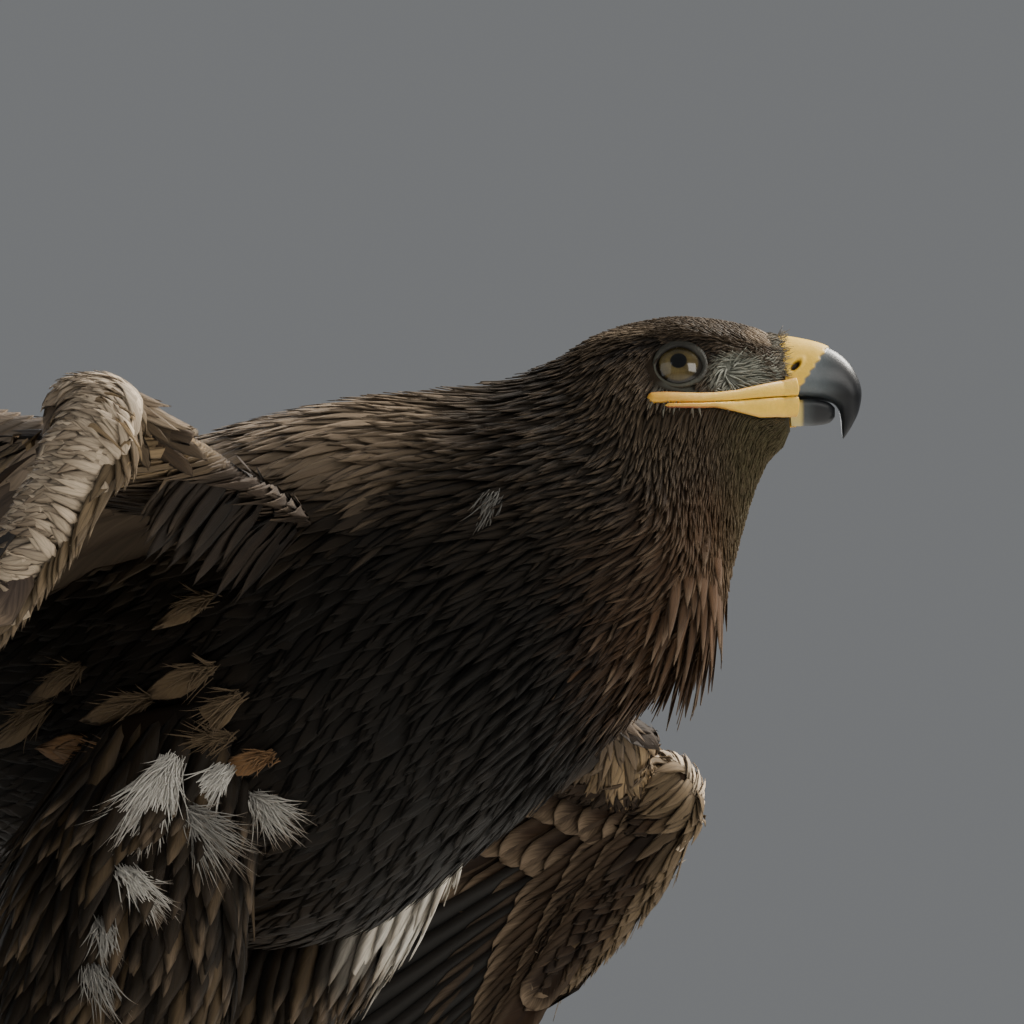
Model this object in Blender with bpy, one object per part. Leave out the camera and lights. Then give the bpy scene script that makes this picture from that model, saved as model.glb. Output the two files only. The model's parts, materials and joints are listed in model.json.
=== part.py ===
"""A steppe eagle at life size: it stands and leans forward, its wings half open and its feathers hanging.

The bird looks along +X, its left side is +Y and +Z is up. All sizes are in metres. The head and body are
first drawn flat, as (along, across, height), and pose() then turns the neck and the head to the left.
"""

import math

import bmesh
import bpy
import numpy as np
from mathutils import Vector
from mathutils.bvhtree import BVHTree

# Driving sizes
GAP = 0.0003  # what two touching pieces keep between them
CUT_GAP = 0.00045  # a little more, where a piece is cut to the shape of its neighbour
HEAD_TURN = math.radians(23)
HEAD_ROLL = math.radians(7)
NECK_TURN_FROM = -0.02
NECK_TURN_TO = 0.10
HEAD_AXIS_HEIGHT = 0.445
BODY_SEGMENTS = 24
SHARP_FROM = math.radians(50)

# The body from the rump to the base of the bill. A row is one section of it: the back (along, height), the
# belly (along, height), half the width, and how far the widest part lies above the middle.
BODY_SECTIONS = (
    (-0.325, 0.368, -0.315, 0.326, 0.027, 0.00),
    (-0.285, 0.398, -0.268, 0.284, 0.047, 0.00),
    (-0.235, 0.425, -0.205, 0.246, 0.066, 0.05),
    (-0.175, 0.441, -0.138, 0.226, 0.079, 0.10),
    (-0.115, 0.450, -0.078, 0.229, 0.086, 0.15),
    (-0.062, 0.453, -0.028, 0.257, 0.086, 0.15),
    (-0.022, 0.451, 0.016, 0.287, 0.078, 0.10),
    (0.006, 0.453, 0.050, 0.314, 0.066, 0.00),
    (0.024, 0.461, 0.083, 0.345, 0.053, -0.05),
    (0.040, 0.470, 0.093, 0.375, 0.045, 0.05),
    (0.056, 0.4745, 0.101, 0.400, 0.039, 0.15),
    (0.074, 0.4765, 0.1080, 0.4155, 0.0335, 0.20),
    (0.095, 0.4745, 0.1150, 0.4228, 0.0240, 0.05),
    (0.1135, 0.4690, 0.1188, 0.4285, 0.0155, -0.10),
)
NECK_STARTS_AT = 6.0
HEAD_STARTS_AT = 8.4
BILL_STARTS_AT = len(BODY_SECTIONS) - 1.0

# The head's own forms, as (along, height) places on its side
EYE = (0.0747, 0.4510)
EYE_RADIUS = 0.0130
EYE_STANDS = 0.0034  # how far the ball stands out of the side of the head
LID_RING = 0.0101
LID_THICKNESS = 0.0018
BROW = (0.084, 0.4655)
LORE = (0.0975, 0.4525)
NOSTRIL = (0.1209, 0.4543)
NOSTRIL_SLANT = math.radians(47)
MOUTH_LINE = ((0.0647, 0.4321), (0.082, 0.4344), (0.101, 0.4382), (0.1139, 0.4405), (0.120, 0.4412))
LIPS_START_AT = 0.1205
UPPER_LIP = {"to": 0.0647, "radius": 0.0023, "tip": 0.0023, "up": 1, "side": 0.0128}
LOWER_LIP = {"to": 0.0880, "radius": 0.0032, "tip": 0.0014, "up": -1, "side": 0.0098}
LIP_PARTING = 0.0003  # from the mouth line to each lip

# The bill, in the same terms as the body
UPPER_BILL = (
    (0.1139, 0.4690, 0.1176, 0.4408, 0.0145, -0.46),
    (0.1227, 0.4675, 0.1218, 0.4418, 0.0127, -0.46),
    (0.1318, 0.4651, 0.1277, 0.4421, 0.0108, -0.44),
    (0.1394, 0.4610, 0.1330, 0.4414, 0.0090, -0.36),
    (0.1450, 0.4546, 0.1366, 0.4400, 0.0072, -0.25),
    (0.1482, 0.4460, 0.1386, 0.4372, 0.0054, -0.10),
    (0.1472, 0.4375, 0.1393, 0.4330, 0.0038, 0.00),
    (0.1440, 0.4306, 0.1396, 0.4290, 0.0024, 0.00),
    (0.1404, 0.4252, 0.1398, 0.4262, 0.0009, 0.00),
)
LOWER_BILL = (
    (0.1177, 0.4402, 0.1189, 0.4312, 0.0116, 0.44),
    (0.1220, 0.4412, 0.1225, 0.4310, 0.0100, 0.44),
    (0.1290, 0.4414, 0.1290, 0.4311, 0.0080, 0.44),
    (0.1345, 0.4404, 0.1345, 0.4320, 0.0056, 0.30),
    (0.1370, 0.4384, 0.1370, 0.4345, 0.0026, 0.00),
)

# The wings, each by the places of its joints; y is the distance from the middle plane
WINGS = {
    "right": {
        "wrist": (-0.030, 0.262, 0.370),
        "elbow": (-0.188, 0.165, 0.426),
        "shoulder": (-0.052, 0.062, 0.382),
    },
    "left": {
        "wrist": (-0.050, 0.262, 0.322),
        "elbow": (-0.205, 0.165, 0.376),
        "shoulder": (-0.056, 0.062, 0.372),
    },
}
HAND_LENGTH = 0.095
HAND_ANGLE = math.radians(117)  # from the forearm's line to the hand's, in the wing's plane
WING_TURN = {"right": math.radians(5), "left": math.radians(-9)}  # how much further back the feathers point
WRIST_CUT = -0.014  # where along the forearm's line the arm ends and the hand begins
PRIMARY_CURVE = 0.34
LAYER = 0.0011  # from one flight feather to the next over it
VANE_THICKNESS = 0.0006
LONG_VANE = np.array([(0, 0.30, 0.75, 0.94, 1.0), (0.30, 0.98, 0.96, 0.60, 0.16)])  # shares of length, width
SHORT_VANE = np.array([(0, 0.45, 0.82, 0.95, 1.0), (0.4, 1.0, 0.92, 0.58, 0.16)])
SECONDARIES = 9
PRIMARIES = 10
COVERTS = 5
SCAPULARS = 5
RECTRICES = 12
TAIL_COVERTS = 5

# The loose feathers that hang from the lower neck, in rows: the place along the body, how many, their length
# and how far back they lean
HACKLE_ROWS = ((8.34, 4, 0.043, 0.16), (8.02, 5, 0.036, 0.34), (7.62, 4, 0.028, 0.60))
TROUSER_LENGTH = 0.066

# The legs; the right one is set a little ahead. A row is (along, height, half the length, half the width).
LEG_AHEAD = {"right": 0.022, "left": 0.0}
LEG_APART = 0.058
THIGHS = {
    "right": (
        (-0.126, 0.310, 0.046, 0.034),
        (-0.137, 0.272, 0.054, 0.040),
        (-0.147, 0.235, 0.055, 0.040),
        (-0.153, 0.195, 0.053, 0.034),
        (-0.161, 0.160, 0.040, 0.026),
        (-0.168, 0.130, 0.026, 0.019),
        (-0.171, 0.106, 0.016, 0.0145),
    ),
    "left": (
        (-0.108, 0.310, 0.046, 0.034),
        (-0.112, 0.272, 0.056, 0.040),
        (-0.135, 0.235, 0.057, 0.040),
        (-0.163, 0.195, 0.047, 0.032),
        (-0.182, 0.160, 0.034, 0.024),
        (-0.191, 0.130, 0.023, 0.018),
        (-0.193, 0.106, 0.016, 0.0145),
    ),
}
SHANK = (
    (-0.193, 0.1100, 0.0145, 0.0130),
    (-0.179, 0.085, 0.0132, 0.0120),
    (-0.160, 0.058, 0.0128, 0.0120),
    (-0.140, 0.030, 0.0142, 0.0140),
)
FOOT_AT = (-0.134, 0.0165)  # where the palm is, and its radius
TOES = {
    "inner": {"angle": -34, "length": 0.046, "radius": 0.0078, "claw": 0.031},
    "middle": {"angle": -2, "length": 0.060, "radius": 0.0074, "claw": 0.027},
    "outer": {"angle": 33, "length": 0.046, "radius": 0.0070, "claw": 0.023},
    "hind": {"angle": 176, "length": 0.034, "radius": 0.0080, "claw": 0.033},
}
TOE_PADS = np.array((1.08, 1.08, 0.92, 1.06, 0.95, 0.62))
SOLE_SINKS = 0.0012  # how much of a toe's round underside the floor takes off

TAIL_LENGTH = 0.245
TAIL_PITCH = math.radians(13)
TAIL_SPREAD = math.radians(13)

PLUMAGE = (0.060, 0.038, 0.025)
DARK_FEATHER = (0.030, 0.021, 0.016)
YELLOW_SKIN = (0.78, 0.52, 0.10)
HORN = (0.05, 0.055, 0.06)

for old in list(bpy.data.objects):
    bpy.data.objects.remove(old, do_unlink=True)
PARTS = bpy.data.collections.new("steppe_eagle")
HELPERS = bpy.data.collections.new("cutters")
bpy.context.scene.collection.children.link(PARTS)
bpy.context.scene.collection.children.link(HELPERS)


def finish_of(name, colour, roughness):
    """A plain material, made once for each name."""
    made = bpy.data.materials.get(name)
    if made is None:
        made = bpy.data.materials.new(name)
        made.use_nodes = True
        shader = made.node_tree.nodes["Principled BSDF"]
        shader.inputs["Base Color"].default_value = (*colour, 1.0)
        shader.inputs["Roughness"].default_value = roughness
        shader.inputs["Metallic"].default_value = 0.0
    return made


FEATHERS = finish_of("plumage", PLUMAGE, 0.75)
QUILLS = finish_of("flight_feathers", DARK_FEATHER, 0.6)
SKIN = finish_of("bare_yellow_skin", YELLOW_SKIN, 0.45)
BLACK_HORN = finish_of("horn", HORN, 0.25)
IRIS = finish_of("eye", (0.10, 0.08, 0.03), 0.08)


def smooth_step(value, start, end):
    """0 before start, 1 after end, and a smooth rise between them."""
    t = np.clip((value - start) / (end - start), 0.0, 1.0)
    return t * t * (3 - 2 * t)


def along_rows(rows, places):
    """The rows read as a smooth curve (Catmull-Rom) at places from 0 to the last row's number."""
    rows = np.asarray(rows, float)
    places = np.atleast_1d(places)
    first = np.clip(np.floor(places).astype(int), 0, len(rows) - 2)
    t = (places - first)[:, None]
    before = rows[np.maximum(first - 1, 0)]
    here = rows[first]
    there = rows[first + 1]
    after = rows[np.minimum(first + 2, len(rows) - 1)]
    return 0.5 * (
        2 * here
        + (there - before) * t
        + (2 * before - 5 * here + 4 * there - after) * t**2
        + (3 * here - before - 3 * there + after) * t**3
    )


def plan_curve():
    """Samples of the bird's middle line seen from above: along, x, y and heading."""
    along = np.linspace(-0.7, 0.4, 2201)
    heading = HEAD_TURN * smooth_step(along, NECK_TURN_FROM, NECK_TURN_TO)
    step = along[1] - along[0]
    x = along[0] + np.cumsum(np.cos(heading)) * step
    y = np.cumsum(np.sin(heading)) * step
    return along, x, y, heading


PLAN = plan_curve()


def pose(flat):
    """Flat (along, across, height) points in the bird's space: the head rolls, then the neck turns."""
    along, across, height = np.moveaxis(np.asarray(flat, float), -1, 0)
    roll = HEAD_ROLL * smooth_step(along, 0.02, 0.10)
    over = height - HEAD_AXIS_HEIGHT
    rolled = across * np.cos(roll) - over * np.sin(roll)
    raised = HEAD_AXIS_HEIGHT + across * np.sin(roll) + over * np.cos(roll)
    heading = np.interp(along, PLAN[0], PLAN[3])
    x = np.interp(along, PLAN[0], PLAN[1]) - rolled * np.sin(heading)
    y = np.interp(along, PLAN[0], PLAN[2]) + rolled * np.cos(heading)
    return np.stack([x, y, raised], axis=-1)


def bump(along, height, centre, size):
    """A round swelling of height 1 on the head's side, centred at (along, height)."""
    return np.exp(-(((along - centre[0]) / size[0]) ** 2) - ((height - centre[1]) / size[1]) ** 2)


def mouth_height(along):
    """The height of the line of the mouth."""
    line = np.array(MOUTH_LINE)
    return np.interp(along, line[:, 0], line[:, 1])


def head_forms(along, height):
    """How far the side of the head stands out beyond its plain sections."""
    return (
        0.0036 * bump(along, height, BROW, (0.018, 0.0040))
        - 0.0042 * bump(along, height, EYE, (0.013, 0.010))
        - 0.0020 * bump(along, height, LORE, (0.009, 0.007))
        + 0.0022 * bump(along, height, (0.078, mouth_height(0.078) - 0.001), (0.020, 0.0050))
    )


def section_rings(rows, places, segments, forms=None):
    """Rings of flat points round the rows' sections."""
    rows = along_rows(rows, places)[:, None, :]
    turn = np.linspace(0, 2 * math.pi, segments, endpoint=False)[None, :]
    up = np.cos(turn)
    up = up + rows[..., 5] * (1 - up**2)
    middle_along = (rows[..., 0] + rows[..., 2]) / 2
    middle_height = (rows[..., 1] + rows[..., 3]) / 2
    along = middle_along + up * (rows[..., 0] - rows[..., 2]) / 2
    height = middle_height + up * (rows[..., 1] - rows[..., 3]) / 2
    across = rows[..., 4] * np.sin(turn)
    if forms:
        across = across + np.sign(across) * np.abs(np.sin(turn)) ** 0.5 * forms(along, height)
    return np.stack([along, across, height], axis=-1)


def closed_loft(rings):
    """Points and faces of a closed body through the rings, with a fan of faces at each end."""
    rings = np.asarray(rings, float)
    count, segments = rings.shape[:2]
    points = np.concatenate([rings.reshape(-1, 3), rings[:1].mean(1), rings[-1:].mean(1)])
    near, far = len(points) - 2, len(points) - 1
    faces = []
    for segment in range(segments):
        after = (segment + 1) % segments
        faces.append((near, after, segment))
        faces.append((far, (count - 1) * segments + segment, (count - 1) * segments + after))
        for ring in range(count - 1):
            low, high = ring * segments, (ring + 1) * segments
            faces.append((low + segment, low + after, high + after))
            faces.append((low + segment, high + after, high + segment))
    return points, faces


def object_of(name, points, faces, finish, collection=PARTS):
    """A mesh object with its faces turned outwards and its round parts shaded smooth."""
    mesh = bpy.data.meshes.new(name)
    mesh.from_pydata([tuple(p) for p in np.asarray(points, float)], [], faces)
    shape = bmesh.new()
    shape.from_mesh(mesh)
    bmesh.ops.recalc_face_normals(shape, faces=shape.faces)
    if shape.calc_volume(signed=True) < 0:
        bmesh.ops.reverse_faces(shape, faces=shape.faces)
    shape.to_mesh(mesh)
    shape.free()
    mesh.shade_smooth()
    mesh.set_sharp_from_angle(angle=SHARP_FROM)
    if finish:
        mesh.materials.append(finish)
    if collection is HELPERS:
        return helper_of(name, mesh)
    made = bpy.data.objects.new(name, mesh)
    collection.objects.link(made)
    return made


def loft_object(name, rings, finish, collection=PARTS):
    return object_of(name, *closed_loft(rings), finish, collection)


def mesh_of(name, shape):
    """The mesh of a shape that is done with."""
    mesh = bpy.data.meshes.new(name)
    shape.to_mesh(mesh)
    shape.free()
    return mesh


def helper_of(name, mesh):
    """An object that only cuts or joins, and so isn't rendered."""
    made = bpy.data.objects.new(name, mesh)
    made.hide_render = True
    made.display_type = "WIRE"
    HELPERS.objects.link(made)
    return made


def keep_largest(mesh):
    """Keeps the mesh's largest closed surface and drops loose scraps and sealed hollows."""
    shape = bmesh.new()
    shape.from_mesh(mesh)
    bmesh.ops.triangulate(shape, faces=shape.faces)
    shape.faces.ensure_lookup_table()
    unseen = set(range(len(shape.faces)))
    groups = []
    while unseen:
        stack = [unseen.pop()]
        group = list(stack)
        while stack:
            for edge in shape.faces[stack.pop()].edges:
                for face in edge.link_faces:
                    if face.index in unseen:
                        unseen.remove(face.index)
                        stack.append(face.index)
                        group.append(face.index)
        groups.append(group)
    groups.sort(key=len)
    scraps = [shape.faces[index] for group in groups[:-1] for index in group]
    bmesh.ops.delete(shape, geom=scraps, context="FACES")
    loose = [vertex for vertex in shape.verts if not vertex.link_faces]
    bmesh.ops.delete(shape, geom=loose, context="VERTS")
    shape.to_mesh(mesh)
    shape.free()


def combine(target, others, operation):
    """Joins the other closed objects to the target, or cuts them from it, and removes them."""
    group = bpy.data.collections.new("operands")
    bpy.context.scene.collection.children.link(group)
    for other in others:
        group.objects.link(other)
    modifier = target.modifiers.new("combine", "BOOLEAN")
    modifier.operation = operation
    modifier.operand_type = "COLLECTION"
    modifier.collection = group
    modifier.solver = "MANIFOLD"  # the exact solver leaves holes where many thin vanes meet
    bpy.context.view_layer.update()
    graph = bpy.context.evaluated_depsgraph_get()
    result = bpy.data.meshes.new_from_object(target.evaluated_get(graph))
    target.modifiers.clear()
    target.data = result
    keep_largest(result)
    result.shade_smooth()
    result.set_sharp_from_angle(angle=SHARP_FROM)
    for other in others:
        bpy.data.objects.remove(other, do_unlink=True)
    bpy.data.collections.remove(group)
    return target


def grown_copy(source, distance=CUT_GAP):
    """A copy of a closed object, a little larger all round, to cut its place out of a neighbour."""
    shape = bmesh.new()
    shape.from_mesh(source.data)
    shape.normal_update()
    places = [vertex.co + vertex.normal * distance for vertex in shape.verts]
    for vertex, place in zip(shape.verts, places):
        vertex.co = place
    return helper_of("grown", mesh_of("grown", shape))


def build_body():
    """The torso, neck and head, three lengths of one form that meet across thin flat gaps."""
    lengths = (
        ("torso", 0.0, NECK_STARTS_AT, 13),
        ("neck", NECK_STARTS_AT, HEAD_STARTS_AT, 6),
        ("head", HEAD_STARTS_AT, BILL_STARTS_AT, 12),
    )
    made = {}
    for name, start, end, count in lengths:
        places = np.linspace(start, end, count)
        flat = section_rings(BODY_SECTIONS, places, BODY_SEGMENTS, head_forms)
        if start > 0:
            flat[0, :, 0] += GAP * 1.3
        made[name] = loft_object(name, pose(flat), FEATHERS)
    return made


def tube_through(points, radii, sides=8, flatten=1.0):
    """Rings round a line of points, each at right angles to the line."""
    points = np.asarray(points, float)
    ahead = np.gradient(points, axis=0)
    ahead /= np.linalg.norm(ahead, axis=1, keepdims=True)
    side = np.cross(ahead, (0.0, 0.0, 1.0))
    weak = np.linalg.norm(side, axis=1) < 0.05
    side[weak] = (0.0, 1.0, 0.0)
    side /= np.linalg.norm(side, axis=1, keepdims=True)
    over = np.cross(side, ahead)
    turn = np.linspace(0, 2 * math.pi, sides, endpoint=False)
    radii = np.asarray(radii, float)[:, None, None]
    return (
        points[:, None, :]
        + radii * np.cos(turn)[None, :, None] * side[:, None, :]
        + radii * flatten * np.sin(turn)[None, :, None] * over[:, None, :]
    )


def on_cheek(tree, along, height, sign):
    """The point of the head's side at an (along, height) place, and the direction out of it there."""
    reach = 0.08
    outside = Vector(pose((along, sign * reach, height)))
    inside = Vector(pose((along, 0.0, height)))
    point, normal, _, _ = tree.ray_cast(outside, (inside - outside).normalized())
    return np.array(point), np.array(normal)


def lip(tree, shape, sign):
    """One soft yellow lip, from the bill back along the cheek towards the corner of the mouth."""
    share = np.linspace(0, 1, 7)
    places = LIPS_START_AT + (shape["to"] - LIPS_START_AT) * share
    radii = shape["radius"] + (shape["tip"] - shape["radius"]) * share
    feathers_start = 0.1125
    line = []
    for along, radius in zip(places, radii):
        height = mouth_height(along) + shape["up"] * (radius + LIP_PARTING)
        if along > feathers_start:
            line.append(pose((along, sign * shape["side"], height)))
        else:
            point, normal = on_cheek(tree, along, height, sign)
            line.append(point - normal * radius * 0.15)
    line = np.array(line)
    rings = tube_through(line, radii, 7)
    tip = tube_through(line[-2:] + (line[-1] - line[-2]) * 0.12, radii[-2:] * 0.6, 7)[-1:]
    return loft_object("lip", np.concatenate([rings, tip]), SKIN, HELPERS)


def build_head_details(head):
    """The bill with its nostrils and lips, the eyes and their lids, all let into the head."""
    tree = BVHTree.FromObject(head, bpy.context.evaluated_depsgraph_get())
    eyes = [eye_pieces(tree, side, sign) for side, sign in (("right", -1), ("left", 1))]
    places = np.linspace(0, len(UPPER_BILL) - 1, 13)
    upper = loft_object("bill_upper", pose(section_rings(UPPER_BILL, places, 14)), BLACK_HORN)
    places = np.linspace(0, len(LOWER_BILL) - 1, 6)
    lower = loft_object("bill_lower", pose(section_rings(LOWER_BILL, places, 12)), BLACK_HORN)
    upper_lips = [lip(tree, UPPER_LIP, sign) for sign in (-1, 1)]
    lower_lips = [lip(tree, LOWER_LIP, sign) for sign in (-1, 1)]
    grooves = [grown_copy(piece) for piece in upper_lips + lower_lips]
    combine(head, [ring for ring, _ in eyes], "UNION")
    combine(head, [socket for _, socket in eyes] + grooves, "DIFFERENCE")
    combine(upper, upper_lips, "UNION")
    combine(lower, lower_lips, "UNION")
    combine(upper, [nostril(sign) for sign in (-1, 1)], "DIFFERENCE")


def nostril(sign):
    """A slanting oval pit in the cere."""
    reach = np.linspace(-1, 1, 7)
    line = [
        (
            NOSTRIL[0] + 0.0030 * step * math.cos(NOSTRIL_SLANT),
            sign * 0.0122,
            NOSTRIL[1] + 0.0030 * step * math.sin(NOSTRIL_SLANT),
        )
        for step in reach
    ]
    radii = 0.0016 * np.sqrt(1.05 - reach**2) + 0.0003
    return loft_object("nostril", tube_through(pose(line), radii, 8, 1.6), SKIN, HELPERS)


def ball_shape(centre, radius, axis, columns=14, rows=6):
    """A ball whose poles lie along the axis."""
    shape = bmesh.new()
    bmesh.ops.create_uvsphere(shape, u_segments=columns, v_segments=rows, radius=radius)
    turn = Vector((0, 0, 1)).rotation_difference(Vector(axis)).to_matrix()
    bmesh.ops.rotate(shape, verts=shape.verts, cent=(0, 0, 0), matrix=turn)
    bmesh.ops.translate(shape, verts=shape.verts, vec=Vector(centre))
    return shape


def ball_object(name, shape, finish):
    mesh = mesh_of(name, shape)
    mesh.shade_smooth()
    mesh.materials.append(finish)
    made = bpy.data.objects.new(name, mesh)
    PARTS.objects.link(made)
    return made


def eye_pieces(tree, side, sign):
    """Makes the eyeball; gives the ring of its lids, which stands out of the head, and its socket."""
    point, normal = on_cheek(tree, *EYE, sign)
    centre = point - normal * (EYE_RADIUS - EYE_STANDS)
    ball_object("eye_" + side, ball_shape(centre, EYE_RADIUS, normal), IRIS)
    socket = helper_of("socket", mesh_of("socket", ball_shape(centre, EYE_RADIUS + CUT_GAP, normal)))
    steps, sides = 14, 4
    forward = np.cross(normal, (0.0, 0.0, 1.0))
    forward /= np.linalg.norm(forward)
    upward = np.cross(forward, normal)
    rise = math.sqrt((EYE_RADIUS + 0.0008) ** 2 - LID_RING**2)
    turn = np.linspace(0, 2 * math.pi, steps, endpoint=False)[:, None, None]
    around = np.linspace(0, 2 * math.pi, sides, endpoint=False)[None, :, None]
    spoke = np.cos(turn) * forward + np.sin(turn) * upward
    out = LID_RING + LID_THICKNESS * np.cos(around)
    ring = centre + spoke * out + normal * (rise + LID_THICKNESS * np.sin(around))
    faces = []
    for i in range(steps):
        for j in range(sides):
            next_i, next_j = (i + 1) % steps, (j + 1) % sides
            faces.append((i * sides + j, next_i * sides + j, next_i * sides + next_j, i * sides + next_j))
    lids = object_of("lids", ring.reshape(-1, 3), faces, FEATHERS, HELPERS)
    return lids, socket


class FeatherSheet:
    """A gently curved sheet that carries a fan of feathers.

    A point (a, b, c) of it lies a along the arm's line and b behind it, in the plane of the wing, and c over
    that plane. The sheet bends down towards its far edge, and all the feathers bend with it.
    """

    def __init__(self, origin, arm, behind, sag=0.0, bend_from=0.0):
        self.origin = np.asarray(origin, float)
        self.arm = np.asarray(arm, float) / np.linalg.norm(arm)
        behind = np.asarray(behind, float)
        behind = behind - self.arm * (behind @ self.arm)
        self.behind = behind / np.linalg.norm(behind)
        self.over = np.cross(self.arm, self.behind)
        self.sag = sag
        self.bend_from = bend_from

    def place(self, a, b, c):
        a, b, c = np.broadcast_arrays(a, b, c)
        lower = self.sag * np.maximum(b - self.bend_from, 0.0) ** 2
        return (
            self.origin
            + a[..., None] * self.arm
            + b[..., None] * self.behind
            + (c - lower)[..., None] * self.over
        )


def vane_faces(stations):
    """Triangles of a thin strip of four-cornered sections, with the same diagonals above and below."""
    faces = [(0, 1, 2), (0, 2, 3)]
    for low in range(0, 4 * (stations - 1), 4):
        high = low + 4
        faces += [(low, low + 1, high + 1), (low, high + 1, high)]
        faces += [(low + 1, low + 2, high + 2), (low + 1, high + 2, high + 1)]
        faces += [(low + 2, low + 3, high + 2), (low + 3, high + 3, high + 2)]
        faces += [(low + 3, low, high), (low + 3, high, high + 3)]
    end = 4 * (stations - 1)
    return faces + [(end, end + 1, end + 2), (end, end + 2, end + 3)]


def vane(sheet, root, angle, length, widths, layer, curve=0.0, long=True, mirror=1):
    """Points and faces of one feather on a sheet: a thin closed strip round its shaft.

    root is (a, b) and angle is the shaft's direction there; curve is how far the shaft turns by its tip.
    widths are those ahead of the shaft and behind it. mirror is -1 where the leading edge is on the
    other side.
    """
    share, full = LONG_VANE if long else SHORT_VANE
    turned = angle + curve * share**1.5
    step = np.diff(share, prepend=0.0) * length
    a = root[0] + np.cumsum(np.cos(turned) * step)
    b = root[1] + np.cumsum(np.sin(turned) * step)
    ahead = np.stack([np.sin(turned), -np.cos(turned)]) * mirror
    front = widths[0] * full
    back = widths[1] * full
    half = VANE_THICKNESS / 2
    corners = [
        sheet.place(a + ahead[0] * distance, b + ahead[1] * distance, layer + level)
        for distance, level in ((front, half), (-back, half), (-back, -half), (front, -half))
    ]
    return np.stack(corners, axis=1).reshape(-1, 3), vane_faces(len(share))


def lock(root, outward, fall, length, width):
    """A short feather that hangs from a root under the surface and lifts away from it towards its tip."""
    sheet = FeatherSheet(root, np.cross(fall, outward), fall, sag=0.9)
    return vane(sheet, (0.0, 0.0), math.pi / 2, length, (width, width), 0.0, 0.0, False)


def joined(target, vanes, side="left", finish=None):
    """Joins a list of feathers to the piece that they grow from."""
    pieces = [
        object_of("vane", mirrored(points, side), faces, finish or QUILLS, HELPERS) for points, faces in vanes
    ]
    return combine(target, pieces, "UNION")


def mirrored(points, side):
    """Points of the left wing's space, moved to the right side where that is asked."""
    points = np.array(points, float)
    if side == "right":
        points[..., 1] *= -1
    return points


def wing_sheet(side):
    """The sheet of a wing's flight feathers, through the elbow, the wrist and the hand."""
    wrist = np.array(WINGS[side]["wrist"])
    arm = wrist - np.array(WINGS[side]["elbow"])
    arm_unit = arm / np.linalg.norm(arm)
    down_back = np.array((-0.71, 0.0, -0.70))
    behind = down_back - arm_unit * (down_back @ arm_unit)
    return FeatherSheet(wrist, arm, behind, sag=0.55), np.linalg.norm(arm)


def secondary_place(share, arm_length):
    """Root (a, b), direction and layer of the flight feather at a share of the way from elbow to wrist."""
    root = (-arm_length * (1 - share) - 0.004, 0.004 + 0.004 * share)
    angle = math.radians(153 - 15 * share)
    layer = 1.5 * LAYER * (SECONDARIES - 1) * (1 - share)
    return root, angle, layer


def airfoil(front, back, over, thickness, points=7):
    """A closed section from a leading to a trailing edge, fuller on top and rounded ahead."""
    share = (1 - np.cos(np.linspace(0, math.pi, points))) / 2
    rise = 2.2 * np.sqrt(share) * (1 - share) ** 0.8 + 0.10 * share
    top = front + share[:, None] * (back - front) + (0.62 * thickness * rise)[:, None] * over
    low = front + share[:, None] * (back - front) - (0.42 * thickness * rise)[:, None] * over
    return np.concatenate([top, low[:0:-1]])


def build_arm(side, torso):
    """The upper arm, the skin before the elbow and the forearm, with secondaries and their coverts."""
    sheet, arm_length = wing_sheet(side)
    shoulder = np.array(WINGS[side]["shoulder"])
    wrist_front = sheet.place(0.004, -0.017, 0.0)
    end = 1 + WRIST_CUT / arm_length
    sections = []
    for share in np.linspace(-0.12, end, 10):
        stretch = max(share, 0.0)
        _, _, layer = secondary_place(stretch, arm_length)
        trailing = sheet.place(-arm_length * (1 - stretch), 0.012, layer)
        leading = shoulder + (wrist_front - shoulder) * stretch
        leading = leading + np.array((0.006, 0, -0.004)) * math.sin(math.pi * stretch)
        if share < 0:
            inward = np.array((0.0, share * 0.35, 0.0))
            leading = leading + inward
            trailing = trailing + inward
        if share == end:
            leading = sheet.place(WRIST_CUT, -0.018, 0.0)
        upright = np.array((0.20, 0.10, 0.97)) * (1 - stretch) + sheet.over * stretch
        chord = trailing - leading
        upright = upright - chord * (upright @ chord) / (chord @ chord)
        upright /= np.linalg.norm(upright)
        sections.append(airfoil(leading, trailing, upright, 0.018 + 0.010 * max(stretch, 0.0)))
    arm = loft_object("wing_arm_" + side, mirrored(sections, side), FEATHERS)
    turn = WING_TURN[side]
    vanes = []
    for share in np.linspace(0.02, 0.87, SECONDARIES):
        root, angle, layer = secondary_place(share, arm_length)
        length = 0.285 - 0.050 * share
        vanes.append(vane(sheet, root, angle + turn, length, (0.012, 0.018), layer, 0.10))
    for share in np.linspace(0.05, 0.88, COVERTS):
        root, angle, layer = secondary_place(share, arm_length)
        root = (root[0], root[1] - 0.022)
        vanes.append(vane(sheet, root, angle + turn, 0.136, (0.012, 0.016), layer + 0.0048, 0.08, False))
    vanes += upper_arm_vanes(side, sheet, arm_length)
    joined(arm, vanes, side)
    combine(arm, [grown_copy(torso)], "DIFFERENCE")
    return arm


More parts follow.
